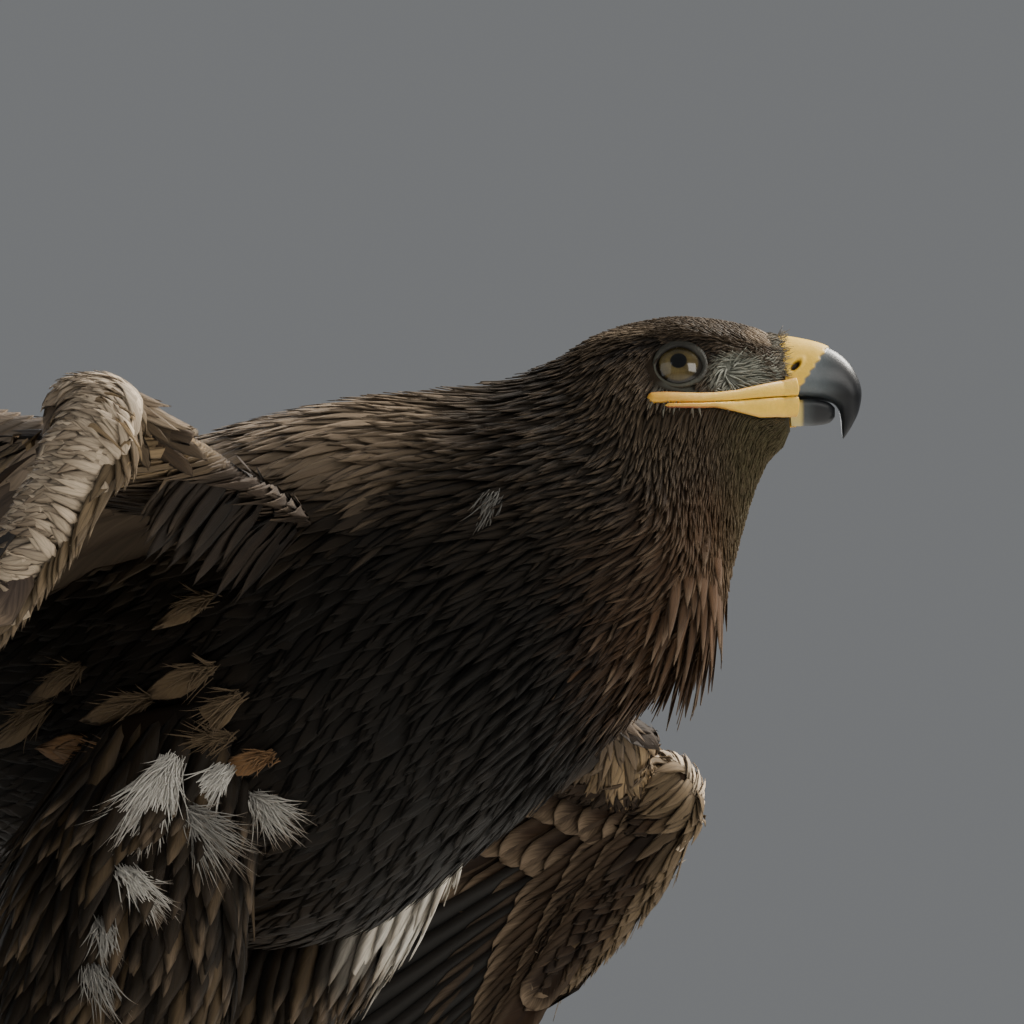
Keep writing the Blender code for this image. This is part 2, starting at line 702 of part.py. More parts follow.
def upper_arm_vanes(side, sheet, arm_length):
    """The long feathers of the upper arm, a second sheet that lies flatter and covers the elbow."""
    elbow = sheet.place(-arm_length, 0.0, 1.5 * LAYER * SECONDARIES)
    shoulder = np.array(WINGS[side]["shoulder"])
    shoulder = shoulder + 0.20 * (elbow - shoulder) + np.array((0.0, 0.0, 0.006))
    humerus = elbow - shoulder
    inner = np.array((-0.98, -0.15, -0.12))
    outer = np.array((-0.95, 0.04, -0.20))
    roof = FeatherSheet(shoulder, humerus, inner + outer, sag=0.5)
    reach = np.linalg.norm(humerus)
    vanes = []
    for share in np.linspace(0.0, 1.0, SCAPULARS):
        heading = inner + (outer - inner) * share
        slant = math.atan2(roof.behind @ heading, roof.arm @ heading)
        length = 0.150 + 0.060 * share
        layer = 0.0035 - 0.0070 * share
        root = (reach * (0.02 + 0.90 * share), -0.010)
        vanes.append(vane(roof, root, slant, length, (0.017, 0.019), layer, 0.0, False))
    return vanes


def build_hand(side, arm):
    """The hand with its primaries, their coverts and the thumb's small feathers."""
    sheet, _ = wing_sheet(side)
    turn = WING_TURN[side]
    along_hand = np.array((math.cos(HAND_ANGLE + turn), math.sin(HAND_ANGLE + turn)))
    across_hand = np.array((math.sin(HAND_ANGLE + turn), -math.cos(HAND_ANGLE + turn)))
    sections = []
    for share in (-0.235, -0.21, -0.14, 0.0, 0.2, 0.45, 0.7, 0.95, 1.12, 1.18):
        middle = along_hand * HAND_LENGTH * share
        rounded_in = math.sqrt(max(1 - (max(-share, 0.0) / 0.24) ** 2, 0.0))
        rounded_out = math.sqrt(1 - (max(share, 0) / 1.2) ** 4)
        wide = rounded_in * rounded_out
        ahead = (0.0205 + 0.004 * math.exp(-(((share - 0.45) / 0.35) ** 2))) * wide
        behind = (0.0185 - 0.009 * smooth_step(share, 0.0, 0.3)) * wide
        layer = -0.0015 - LAYER * (PRIMARIES - 1) * min(max(share, 0.0), 1.0)
        front = sheet.place(*(middle + across_hand * ahead), layer)
        back = sheet.place(*(middle - across_hand * behind), layer)
        thickness = (0.022 - 0.009 * max(share, 0.0)) * wide
        sections.append(airfoil(front, back, sheet.over, thickness))
    hand = loft_object("wing_hand_" + side, mirrored(sections, side), FEATHERS)
    reach = sheet.place(
        np.array((WRIST_CUT + GAP, WRIST_CUT + GAP, -0.08, -0.08) * 2),
        np.array((-0.06, 0.013, 0.013, -0.06) * 2),
        np.array((-0.05,) * 4 + (0.05,) * 4),
    )
    faces = [(0, 1, 2, 3), (7, 6, 5, 4)] + [(i, (i + 1) % 4, (i + 1) % 4 + 4, i + 4) for i in range(4)]
    combine(hand, [object_of("cut", mirrored(reach, side), faces, None, HELPERS)], "DIFFERENCE")
    lengths = 0.240 + 0.160 * np.sin(np.linspace(0.05, 1.0, PRIMARIES) * math.pi * 0.60)
    vanes = []
    for number in range(PRIMARIES):
        share = (number + 0.8) / PRIMARIES
        root = along_hand * HAND_LENGTH * share * 0.96
        angle = math.radians(136 - 19.5 * share)
        layer = -0.0024 - LAYER * number
        widths = (0.010 - 0.004 * share, 0.020 - 0.002 * share)
        length = lengths[number] - HAND_LENGTH * share * 0.35
        curve = PRIMARY_CURVE - 1.5 * turn
        vanes.append(vane(sheet, root, angle + turn, length, widths, layer, curve))
    for share in np.linspace(0.16, 0.84, 4):
        root = along_hand * HAND_LENGTH * share + across_hand * 0.004
        angle = math.radians(134 - 16 * share)
        layer = -LAYER * 10 * share + 0.0052
        vanes.append(vane(sheet, root, angle + turn, 0.098, (0.010, 0.014), layer, 0.1, False))
    for number in range(2):
        root = along_hand * (0.020 + 0.012 * number) + across_hand * (0.010 - 0.003 * number)
        layer = 0.0075 - 0.0014 * number
        length = 0.085 + 0.02 * number
        vanes.append(vane(sheet, root, HAND_ANGLE + turn, length, (0.008, 0.012), layer, 0.06, False))
    joined(hand, vanes, side)
    combine(hand, [grown_copy(arm)], "DIFFERENCE")
    return hand


def build_hackles(neck):
    """The loose, pointed feathers that hang from the lower side of the neck."""
    vanes = []
    for place, count, length, lean in HACKLE_ROWS:
        section = along_rows(BODY_SECTIONS, [place])[0]
        middle = np.array(((section[0] + section[2]) / 2, 0.0, (section[1] + section[3]) / 2))
        for turn in np.linspace(-0.62, 0.62, count):
            outward = np.array((section[2] - section[0], 0.0, section[3] - section[1])) / 2 * math.cos(turn)
            outward = outward + np.array((0.0, section[4] * math.sin(turn), 0.0))
            root = middle + outward * 0.93
            outward = outward / np.linalg.norm(outward)
            fall = np.array((-lean, 0.12 * math.sin(turn), -math.sqrt(1 - lean**2))) + 0.10 * outward
            points, faces = lock(root, outward, fall, length, 0.0068)
            vanes.append((pose(points), faces))
    joined(neck, vanes, finish=FEATHERS)


def build_tail():
    """The tail: a flat root that meets the rump, with overlapping tail feathers and coverts."""
    end = section_rings(BODY_SECTIONS, [0.0], BODY_SEGMENTS)[0]
    base = end.mean(0)
    heading = np.array((-math.cos(TAIL_PITCH), 0.0, -math.sin(TAIL_PITCH)))
    rings = []
    for share in np.linspace(0, 1, 5):
        squeeze = 1 - 0.62 * smooth_step(share, 0.0, 1.0)
        widen = 1 + 0.15 * share
        ring = (end - base) * np.array((squeeze, widen, squeeze)) + base + heading * 0.052 * share
        rings.append(ring)
    rings = np.array(rings)
    rings[0, :, 0] -= GAP * 1.3
    tail = loft_object("tail", rings, FEATHERS)
    sheet = FeatherSheet(base, (0.0, -1.0, 0.0), heading, sag=0.25)
    vanes = []
    for number in range(RECTRICES):
        place = number - (RECTRICES - 1) / 2
        share = place / ((RECTRICES - 1) / 2)
        depth = 2 * abs(share) * (RECTRICES - 1) / 2 + (0.5 if place > 0 else 0.0)
        root = (0.020 * share, 0.030)
        angle = math.pi / 2 - TAIL_SPREAD * share
        side = 1 if place < 0 else -1
        widths = (0.013, 0.019) if abs(share) > 0.2 else (0.016, 0.017)
        length = TAIL_LENGTH * (1 - 0.03 * abs(share))
        layer = 0.0062 - 0.0011 * depth
        vanes.append(vane(sheet, root, angle, length, widths, layer, 0.0, True, -side))
    for number in range(TAIL_COVERTS):
        share = 2 * number / (TAIL_COVERTS - 1) - 1
        root = (0.018 * share, 0.018)
        angle = math.pi / 2 - TAIL_SPREAD * share * 0.8
        layer = 0.0088 - 0.0018 * abs(share) + 0.0007 * (number % 2)
        vanes.append(vane(sheet, root, angle, 0.105, (0.013, 0.013), layer, 0.0, False))
    return joined(tail, vanes)


def leg_rings(rows, side, ahead, count, segments):
    """Rings down a leg: a row is (along, height, half the length fore and aft, half the width)."""
    rows = along_rows(rows, np.linspace(0, len(rows) - 1, count))
    sign = -1 if side == "right" else 1
    turn = np.linspace(0, 2 * math.pi, segments, endpoint=False)
    rings = []
    for along, height, fore, half in rows:
        tilt = 0.25
        x = along + ahead + fore * np.cos(turn)
        y = sign * LEG_APART + half * np.sin(turn)
        z = height + tilt * fore * np.cos(turn) * 0.5
        rings.append(np.stack([x, y, z], axis=-1))
    return np.array(rings)


def build_leg(side, torso):
    """A feathered thigh and shank with the long feathers that hang behind them."""
    thigh = loft_object("thigh_" + side, leg_rings(THIGHS[side], side, 0.0, 9, 14), FEATHERS)
    sign = -1 if side == "right" else 1
    vanes = []
    for row in range(3):
        for number in range(3):
            angle = math.radians(120 + 60 * number + 25 * (row % 2))
            along, height, fore, half = along_rows(THIGHS[side], [1.9 + 1.2 * row])[0]
            outward = np.array((math.cos(angle), math.sin(angle), 0.0))
            root = np.array((along, sign * LEG_APART, height)) + 0.70 * outward * (fore, half, 0.0)
            fall = np.array((-0.30, 0.0, -0.93)) + 0.16 * outward
            vanes.append(lock(root, outward, fall, TROUSER_LENGTH, 0.010))
    joined(thigh, vanes, finish=FEATHERS)
    combine(thigh, [grown_copy(torso)], "DIFFERENCE")
    shank = loft_object("shank_" + side, leg_rings(SHANK, side, LEG_AHEAD[side], 6, 12), FEATHERS)
    combine(shank, [grown_copy(thigh)], "DIFFERENCE")
    return thigh, shank


def toe_line(centre, toe, mirror):
    """Points along a toe's middle from the palm to the root of the claw, and the way that it points."""
    heading = math.radians(toe["angle"]) * mirror
    ahead = np.array((math.cos(heading), math.sin(heading), 0.0))
    share = np.linspace(0, 1, len(TOE_PADS))
    height = toe["radius"] - SOLE_SINKS + 0.0075 * (1 - share) ** 2
    line = centre + ahead * (toe["length"] * share)[:, None]
    line[:, 2] += height
    return line, ahead


def build_foot(side, shank):
    """A foot of four toes on flat pads, with each claw a piece of its own."""
    mirror = 1 if side == "left" else -1
    centre = np.array((FOOT_AT[0] + LEG_AHEAD[side], mirror * LEG_APART, 0.0))
    ball = ball_shape(centre + np.array((0.0, 0.0, 0.020)), FOOT_AT[1], (0, 0, 1), 10)
    palm = ball_object("foot_" + side, ball, SKIN)
    toes = []
    claws = []
    for name, toe in TOES.items():
        line, ahead = toe_line(centre, toe, mirror)
        radii = toe["radius"] * TOE_PADS
        toes.append(loft_object("toe", tube_through(line, radii, 8), SKIN, HELPERS))
        claws.append(claw(side, name, toe, line[-1], ahead))
    combine(palm, toes, "UNION")
    cutters = [floor_slab(), grown_copy(shank)] + [grown_copy(piece) for piece in claws]
    return combine(palm, cutters, "DIFFERENCE")


def floor_slab():
    """A wide slab under the floor level, which gives the soles their flats."""
    shape = bmesh.new()
    bmesh.ops.create_cube(shape, size=1.0)
    bmesh.ops.translate(shape, verts=shape.verts, vec=(0, 0, -0.5))
    return helper_of("floor", mesh_of("floor", shape))


def claw(side, name, toe, root, ahead):
    """A curved, tapering claw, its tip just clear of the floor."""
    share = np.linspace(0, 1, 6)
    radius = toe["claw"] * 0.62
    sweep = 1.55 * share
    top = root + ahead * (-0.004) + np.array((0, 0, 0.0018))
    forward = radius * np.sin(sweep)
    drop = radius * (1 - np.cos(sweep))
    lift = 0.0062 * np.sin(share * math.pi)
    line = top + ahead * forward[:, None] + np.array((0, 0, 1.0)) * (lift - drop)[:, None]
    lowest = line[-1, 2]
    room = root[2] + 0.0018 - 0.0010
    scale = min(1.0, room / max(root[2] + 0.0018 - lowest, 1e-6))
    line[:, 2] = top[2] + (line[:, 2] - top[2]) * scale
    radii = 0.0049 * (1 - share) ** 0.75 + 0.0004
    return loft_object(f"claw_{name}_{side}", tube_through(line, radii, 6, 1.15), BLACK_HORN)


def centre_on_floor():
    """Moves all the pieces so that the middle of the model's own outline stands over the origin."""
    low = np.full(3, np.inf)
    high = np.full(3, -np.inf)
    for piece in PARTS.objects:
        corners = np.array([vertex.co for vertex in piece.data.vertices])
        low = np.minimum(low, corners.min(0))
        high = np.maximum(high, corners.max(0))
    shift = Vector((-(low[0] + high[0]) / 2, -(low[1] + high[1]) / 2, -low[2]))
    for piece in PARTS.objects:
        piece.location = shift
    print("moved by", tuple(round(value, 5) for value in shift), "size", high - low)


def main():
    body = build_body()
    build_head_details(body["head"])
    build_hackles(body["neck"])
    combine(body["neck"], [grown_copy(body["torso"])], "DIFFERENCE")
    build_tail()
    for side in ("right", "left"):
        arm = build_arm(side, body["torso"])
        build_hand(side, arm)
        thigh, shank = build_leg(side, body["torso"])
        build_foot(side, shank)
    centre_on_floor()


main()
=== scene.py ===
import json
import math

import bpy
import numpy as np
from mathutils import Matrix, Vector

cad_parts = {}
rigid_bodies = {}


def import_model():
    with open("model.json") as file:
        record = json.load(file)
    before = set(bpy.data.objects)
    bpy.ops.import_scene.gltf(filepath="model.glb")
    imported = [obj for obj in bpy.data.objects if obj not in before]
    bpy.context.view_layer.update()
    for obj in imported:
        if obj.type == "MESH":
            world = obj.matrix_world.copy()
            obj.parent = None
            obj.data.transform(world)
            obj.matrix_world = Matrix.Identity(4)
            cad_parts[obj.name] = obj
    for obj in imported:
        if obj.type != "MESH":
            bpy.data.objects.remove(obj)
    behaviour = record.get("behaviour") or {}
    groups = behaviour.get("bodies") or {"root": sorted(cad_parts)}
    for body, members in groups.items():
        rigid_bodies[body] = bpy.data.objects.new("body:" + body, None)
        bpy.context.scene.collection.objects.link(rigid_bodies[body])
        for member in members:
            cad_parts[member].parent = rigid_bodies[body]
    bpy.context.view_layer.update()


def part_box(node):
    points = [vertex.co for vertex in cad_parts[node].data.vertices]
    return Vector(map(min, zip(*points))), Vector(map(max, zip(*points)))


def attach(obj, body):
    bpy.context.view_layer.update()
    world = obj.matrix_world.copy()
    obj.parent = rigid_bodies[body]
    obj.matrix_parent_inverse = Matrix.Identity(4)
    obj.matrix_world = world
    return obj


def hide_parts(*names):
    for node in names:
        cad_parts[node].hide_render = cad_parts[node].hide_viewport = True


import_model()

# A steppe eagle at life size, standing with half-open wings. Lengths are metres, the bird looks along +X.

rng = np.random.default_rng(5)


def smooth(value, low, high):
    # 0 below low, 1 above high, 3t^2 - 2t^3 between them
    t = np.clip((value - low) / (high - low), 0.0, 1.0)
    return t * t * (3 - 2 * t)


def unit(vectors):
    # each vector divided by its own length
    return vectors / np.maximum(np.linalg.norm(vectors, axis=-1, keepdims=True), 1e-12)


def blendOf(low, high, share):
    # low at share 0, high at share 1, straight in between
    return low + (high - low) * share


def turnsOf(count):
    # evenly spaced angles round a full turn, without the last
    return np.linspace(0, 2 * math.pi, count, endpoint=False)


def curveRows(rows, places):
    # Catmull-Rom through the rows, read at places counted in rows
    rows = np.asarray(rows, float)
    first = np.clip(np.floor(places).astype(int), 0, len(rows) - 2)
    t = (places - first)[:, None]
    before, here = rows[np.maximum(first - 1, 0)], rows[first]
    there, after = rows[first + 1], rows[np.minimum(first + 2, len(rows) - 1)]
    return 0.5 * (2 * here + (there - before) * t + (2 * before - 5 * here + 4 * there - after) * t**2
                  + (3 * here - before - 3 * there + after) * t**3)


# The body is drawn flat first, as (along, across, height), then the head rolls and the neck turns.
bodyShape = {
    "rows": (  # back (along, height), belly (along, height), half width, how high the widest part lies
        (-0.325, 0.368, -0.315, 0.326, 0.027, 0.00), (-0.285, 0.398, -0.268, 0.284, 0.047, 0.00),
        (-0.235, 0.425, -0.205, 0.246, 0.066, 0.05), (-0.175, 0.441, -0.138, 0.226, 0.079, 0.10),
        (-0.115, 0.450, -0.078, 0.229, 0.086, 0.15), (-0.062, 0.453, -0.028, 0.257, 0.086, 0.15),
        (-0.022, 0.451, 0.016, 0.287, 0.078, 0.10), (0.006, 0.453, 0.050, 0.314, 0.066, 0.00),
        (0.024, 0.461, 0.083, 0.345, 0.053, -0.05), (0.040, 0.470, 0.093, 0.375, 0.045, 0.05),
        (0.056, 0.4745, 0.101, 0.400, 0.039, 0.15), (0.074, 0.4765, 0.1080, 0.4155, 0.0335, 0.20),
        (0.095, 0.4745, 0.1150, 0.4228, 0.0240, 0.05), (0.1135, 0.4690, 0.1188, 0.4285, 0.0155, -0.10)),
    "headTurn": math.radians(23), "headRoll": math.radians(7), "turnFrom": -0.02, "turnTo": 0.10,
    "headAxis": 0.445, "lengths": 521, "around": 256,
}
lastRow = len(bodyShape["rows"]) - 1
face = {
    "eye": (0.0747, 0.4510), "brow": (0.084, 0.4655), "lore": (0.0975, 0.4525),
    "mouth": ((0.0647, 0.4321), (0.082, 0.4344), (0.101, 0.4382), (0.1139, 0.4405), (0.120, 0.4412)),
}


def planLine():
    # the middle line from above: x and y are the running sums of the cosine and sine of the heading
    along = np.linspace(-0.7, 0.4, 2201)
    heading = bodyShape["headTurn"] * smooth(along, bodyShape["turnFrom"], bodyShape["turnTo"])
    step = along[1] - along[0]
    return along, along[0] + np.cumsum(np.cos(heading)) * step, np.cumsum(np.sin(heading)) * step, heading


plan = planLine()


def posed(flat):
    # rolls the head about its axis, then lays the along axis onto the plan line
    along, across, height = np.moveaxis(np.asarray(flat, float), -1, 0)
    roll = bodyShape["headRoll"] * smooth(along, 0.02, 0.10)
    over = height - bodyShape["headAxis"]
    rolled = across * np.cos(roll) - over * np.sin(roll)
    raised = bodyShape["headAxis"] + across * np.sin(roll) + over * np.cos(roll)
    heading = np.interp(along, plan[0], plan[3])
    x = np.interp(along, plan[0], plan[1]) - rolled * np.sin(heading)
    y = np.interp(along, plan[0], plan[2]) + rolled * np.cos(heading)
    return np.stack([x, y, raised], axis=-1)


def bump(along, height, centre, size):
    # a bell over the side of the head: e to the minus squared distance, counted in sizes
    return np.exp(-(((along - centre[0]) / size[0]) ** 2) - ((height - centre[1]) / size[1]) ** 2)


def mouthHeight(along):
    # how high the line of the mouth lies at a place along the head, straight between its points
    line = np.array(face["mouth"])
    return np.interp(along, line[:, 0], line[:, 1])


def headForms(along, height):
    # how far the side of the head stands out: brow, eye hollow, lore and cheek swelling
    return (0.0036 * bump(along, height, face["brow"], (0.018, 0.0040))
            - 0.0042 * bump(along, height, face["eye"], (0.013, 0.010))
            - 0.0020 * bump(along, height, face["lore"], (0.009, 0.007))
            + 0.0022 * bump(along, height, (0.078, mouthHeight(0.078) - 0.001), (0.020, 0.0050)))


def flatRings(rows, places, around, forms=None):
    # each ring runs from the back down one side to the belly and up the other
    rows = curveRows(rows, places)[:, None, :]
    turn = turnsOf(around)[None, :]
    up = np.cos(turn)
    up = up + rows[..., 5] * (1 - up**2)
    along = (rows[..., 0] + rows[..., 2]) / 2 + up * (rows[..., 0] - rows[..., 2]) / 2
    height = (rows[..., 1] + rows[..., 3]) / 2 + up * (rows[..., 1] - rows[..., 3]) / 2
    across = rows[..., 4] * np.sin(turn)
    if forms:
        across = across + np.sign(across) * np.abs(np.sin(turn)) ** 0.5 * forms(along, height)
    return np.stack([along, across, height], axis=-1)


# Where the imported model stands: the rump's first ring and the feet give its shift from these drawings.
rumpRing = posed(flatRings(bodyShape["rows"], np.zeros(1), 24))[0]
feetMiddle = [(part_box(name)[0][1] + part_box(name)[1][1]) / 2 for name in ("foot_left", "foot_right")]
shift = np.array((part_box("torso")[0][0] - rumpRing[:, 0].min(), sum(feetMiddle) / 2, 0.0))
print("shift", shift)


def runningSum(steps, count):
    # starts at 0 and adds each step but the last, divided by the count
    return np.concatenate([np.zeros((len(steps), 1)), np.cumsum(steps[:, :-1], 1) / count], 1)


class Surface:
    # a loft held as a table of rings; s counts rings, t counts points round a ring, or along an open one
    def __init__(self, rings, flat=None, inside=None, closed=True):
        self.rings = rings
        self.flat = rings if flat is None else flat
        self.last = rings.shape[0] - 1
        self.around = rings.shape[1]
        self.closed = closed
        if closed:
            self.bySide = (np.roll(rings, -1, axis=1) - np.roll(rings, 1, axis=1)) / 2
        else:
            self.bySide = np.gradient(rings, axis=1)
        self.byLength = np.gradient(rings, axis=0)
        normals = unit(np.cross(self.bySide, self.byLength))
        inside = rings.mean(axis=1, keepdims=True) if inside is None else inside
        self.sign = np.sign(np.median(np.sum(normals * (rings - inside), axis=-1)))
        self.normals = normals * self.sign

    def read(self, table, s, t):
        # bilinear between the four table entries round (s, t)
        s = np.clip(s, 0, self.last - 1e-6)
        t = t if self.closed else np.clip(t, 0, self.around - 1 - 1e-6)
        i, j = np.floor(s).astype(int), np.floor(t).astype(int)
        fs, ft = (s - i)[..., None], (t - j)[..., None]
        j, k = j % self.around, (j + 1) % self.around
        return (table[i, j] * (1 - fs) * (1 - ft) + table[i + 1, j] * fs * (1 - ft)
                + table[i, k] * (1 - fs) * ft + table[i + 1, k] * fs * ft)

    def places(self, rowStep, sideStep, jitter, draw):
        # shingled rows: each row is a level line of the running sum of distance / row step
        step = np.linalg.norm(self.byLength, axis=-1) / rowStep
        rise = np.concatenate([np.zeros((1, self.around)), np.cumsum((step[1:] + step[:-1]) / 2, axis=0)])
        columns = np.arange(self.around)
        ends = np.arange(self.around + (1 if self.closed else 0))
        allS, allT = [], []
        for number, level in enumerate(np.arange(0.3, rise.max(), 1.0)):
            above = np.argmax(rise > level, axis=0)
            valid = above > 0
            low = np.maximum(above - 1, 0)
            gap = np.maximum(rise[above, columns] - rise[low, columns], 1e-9)
            s = np.where(valid, low + (level - rise[low, columns]) / gap, 0.0)
            points = self.read(self.rings, s, columns.astype(float))
            local = self.read(sideStep[..., None], s, columns.astype(float))[..., 0]
            width = np.linalg.norm(np.roll(points, -1, axis=0) - points, axis=-1) / local
            width = np.where(valid & np.roll(valid, -1), width, 0.0)[:len(ends) - 1]
            total = np.concatenate([[0.0], np.cumsum(width)])
            count = int(total[-1])
            if count < 1:
                continue
            wanted = np.arange(count) + 0.5 * (number % 2) + draw.uniform(-jitter, jitter, count)
            t = np.interp(wanted % total[-1], total, ends)
            s = np.interp(t, ends, np.append(s, s[0])[:len(ends)])
            local = self.read(step[..., None], s, t)[..., 0]
            allS.append(s + draw.uniform(-jitter, jitter, count) / np.maximum(local, 1e-6))
            allT.append(t)
        return np.clip(np.concatenate(allS), 0, self.last), np.concatenate(allT)


bakePatch = 0.003  # how wide each feather's patch is on the OFBake map


class Coat:
    # gathers feathers; each one is a closed run of rings with the same number of points
    def __init__(self):
        self.parts = []

    def add(self, rings, across, along, tint, mark, rootUv, mirror=False):
        # keeps a batch of feathers; mirrored ones run round the other way, so that they face outwards
        if mirror:
            rings = rings * np.array((1.0, -1.0, 1.0))
            rings, across = rings[:, :, ::-1], across[::-1]
        self.parts.append((rings, across, along, tint, mark, rootUv))

    def build(self, name, material, nodes=()):
        # joins neighbouring rings with quads and closes both ends with a cap
        points, uvs, bakeUvs, tints, marks, corners, starts = [], [], [], [], [], [], []
        base, loop = 0, 0
        for rings, across, along, tint, mark, rootUv in self.parts:
            count, stations, sides = rings.shape[:3]
            grid = (np.arange(count * stations * sides) + base).reshape(count, stations, sides)
            after = np.roll(grid, -1, axis=2)
            quads = np.stack([grid[:, :-1], after[:, :-1], after[:, 1:], grid[:, 1:]], axis=-1).reshape(-1,
                                                                                                        4)
            caps = np.concatenate([grid[:, 0, ::-1], grid[:, -1]])
            corners += [quads.ravel(), caps.ravel()]
            starts.append(loop + np.arange(len(quads)) * 4)
            loop += quads.size
            starts.append(loop + np.arange(len(caps)) * sides)
            loop += caps.size
            uv = np.stack(np.broadcast_arrays(across[None, None, :], along[None, :, None]), axis=-1)
            uv = np.broadcast_to(uv, (count, stations, sides, 2))
            points.append(rings.reshape(-1, 3))
            uvs.append(uv.reshape(-1, 2))
            bakeUvs.append((rootUv[:, None, None, :] + bakePatch * (uv - 0.5)).reshape(-1, 2))
            shape = (count, stations, sides, 4)
            tint = np.concatenate([tint, rng.random((count, 1))], axis=1)
            tints.append(np.broadcast_to(tint[:, None, None, :], shape).reshape(-1, 4))
            mark = np.concatenate([mark, np.ones((count, 1))], axis=1)
            marks.append(np.broadcast_to(mark[:, None, None, :], shape).reshape(-1, 4))
            base += grid.size
        corners = np.concatenate(corners)
        piece = meshPiece(name, np.concatenate(points), corners, np.concatenate(starts), material,
                          nodes)
        for label, data in (("vane", uvs), ("OFBake", bakeUvs)):
            layer = piece.data.uv_layers.new(name=label)
            layer.data.foreach_set("uv", np.concatenate(data)[corners].astype(np.float32).ravel())
        for label, data in (("tint", tints), ("mark", marks)):
            paintPoints(piece, label, np.concatenate(data))
        print(name, len(corners) - 2 * (len(np.concatenate(starts))), "triangles")
        return piece


def paintPoints(piece, label, colour):
    # keeps one red, green, blue and alpha with each point
    layer = piece.data.attributes.new(label, "FLOAT_COLOR", "POINT")
    layer.data.foreach_set("color", colour.astype(np.float32).ravel())


def meshPiece(name, points, corners, starts, material, nodes=()):
    # a mesh of faces: corners lists every face's points, starts says where each face begins in it
    mesh = bpy.data.meshes.new(name)
    mesh.vertices.add(len(points))
    mesh.vertices.foreach_set("co", (points + shift).astype(np.float32).ravel())
    mesh.loops.add(len(corners))
    mesh.loops.foreach_set("vertex_index", corners.astype(np.int32))
    mesh.polygons.add(len(starts))
    mesh.polygons.foreach_set("loop_start", starts.astype(np.int32))
    mesh.update(calc_edges=True)
    mesh.shade_smooth()
    mesh.materials.append(material)
    piece = bpy.data.objects.new(name, mesh)
    bpy.context.scene.collection.objects.link(piece)
    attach(piece, "root")
    if nodes:
        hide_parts(*nodes)
    return piece


def closedGrid(name, rings, material, nodes=(), tint=None):
    # a closed body through the rings, with a fan at each end
    count, around = rings.shape[:2]
    points = np.concatenate([rings.reshape(-1, 3), rings[:1].mean(1), rings[-1:].mean(1)])
    grid = np.arange(count * around).reshape(count, around)
    after = np.roll(grid, -1, axis=1)
    quads = np.stack([grid[:-1], after[:-1], after[1:], grid[1:]], axis=-1).reshape(-1, 4)
    near = np.full(around, len(points) - 2)
    far = near + 1
    ends = np.concatenate([np.stack([near, after[0], grid[0]], -1),
                           np.stack([far, grid[-1], after[-1]], -1)])
    middle, ahead = rings.mean(1), np.gradient(rings.mean(1), axis=0)
    turnWay = np.cross(rings - middle[:, None], np.roll(rings, -1, axis=1) - middle[:, None])
    if (turnWay * ahead[:, None]).sum() < 0:
        quads, ends = quads[:, ::-1], ends[:, ::-1]
    corners = np.concatenate([quads.ravel(), ends.ravel()])
    starts = np.concatenate([np.arange(len(quads)) * 4, quads.size + np.arange(len(ends)) * 3])
    piece = meshPiece(name, points, corners, starts, material, nodes)
    if tint is not None:
        tint = np.concatenate([tint.reshape(-1, tint.shape[-1]), tint[0].mean(0)[None],
                               tint[-1].mean(0)[None]])
        tint = np.concatenate([tint, np.ones((len(tint), 4 - tint.shape[1]))], axis=1)
        paintPoints(piece, "tint", tint)
    return piece


# Feather outlines as shares of the length and of the half width.
outlines = {
    "contour": ((0, 0.15, 0.40, 0.62, 0.80, 0.92, 1.0), (0.30, 0.62, 0.98, 0.96, 0.70, 0.40, 0.08)),
    "lancet": ((0, 0.20, 0.50, 0.75, 0.90, 1.0), (0.35, 0.90, 1.0, 0.66, 0.36, 0.06)),
    "hair": ((0, 0.35, 0.70, 1.0), (0.70, 1.0, 0.70, 0.10)),
}
stationsOf = {
    "contour": np.array((0, 0.28, 0.55, 0.76, 0.90, 0.97, 1.0)),
    "lancet": np.array((0, 0.30, 0.60, 0.85, 1.0)),
    "hair": np.array((0, 0.40, 0.75, 1.0)),
}


def vaneRings(path, over, width, outline, f, columns, lower, thickness, cup, ragged, draw):
    # rings across the path: a crowned upper side of `columns` points and a lower side of `lower` points
    ahead = unit(np.gradient(path, axis=1))
    side = unit(np.cross(ahead, over))
    over = unit(np.cross(side, ahead))
    half = width[:, None] * np.interp(f, *outline)[None, :]
    top = np.linspace(-1, 1, columns)
    low = np.linspace(1, -1, lower + 2)[1:-1]
    x = np.concatenate([top, low])
    lift = np.concatenate([thickness * 0.5 * (1 - top**2), -thickness * 0.5 * (1 - low**2)])
    rings = path[:, :, None] + side[:, :, None] * (half[..., None] * x)[..., None]
    rings = rings + over[:, :, None] * (lift - cup * half[..., None] * x**2)[..., None]
    if ragged:
        cut = draw.uniform(-1, 1, (len(path), columns)) * ragged
        cut = np.concatenate([cut, np.repeat(cut.mean(1, keepdims=True), lower, axis=1)], axis=1)
        length = np.linalg.norm(path[:, -1] - path[:, 0], axis=-1)
        slide = cut[:, None, :] * length[:, None, None] * (f[None, :, None] ** 4)
        rings = rings + ahead[:, :, None] * slide[..., None]
    return rings, (x + 1) / 2


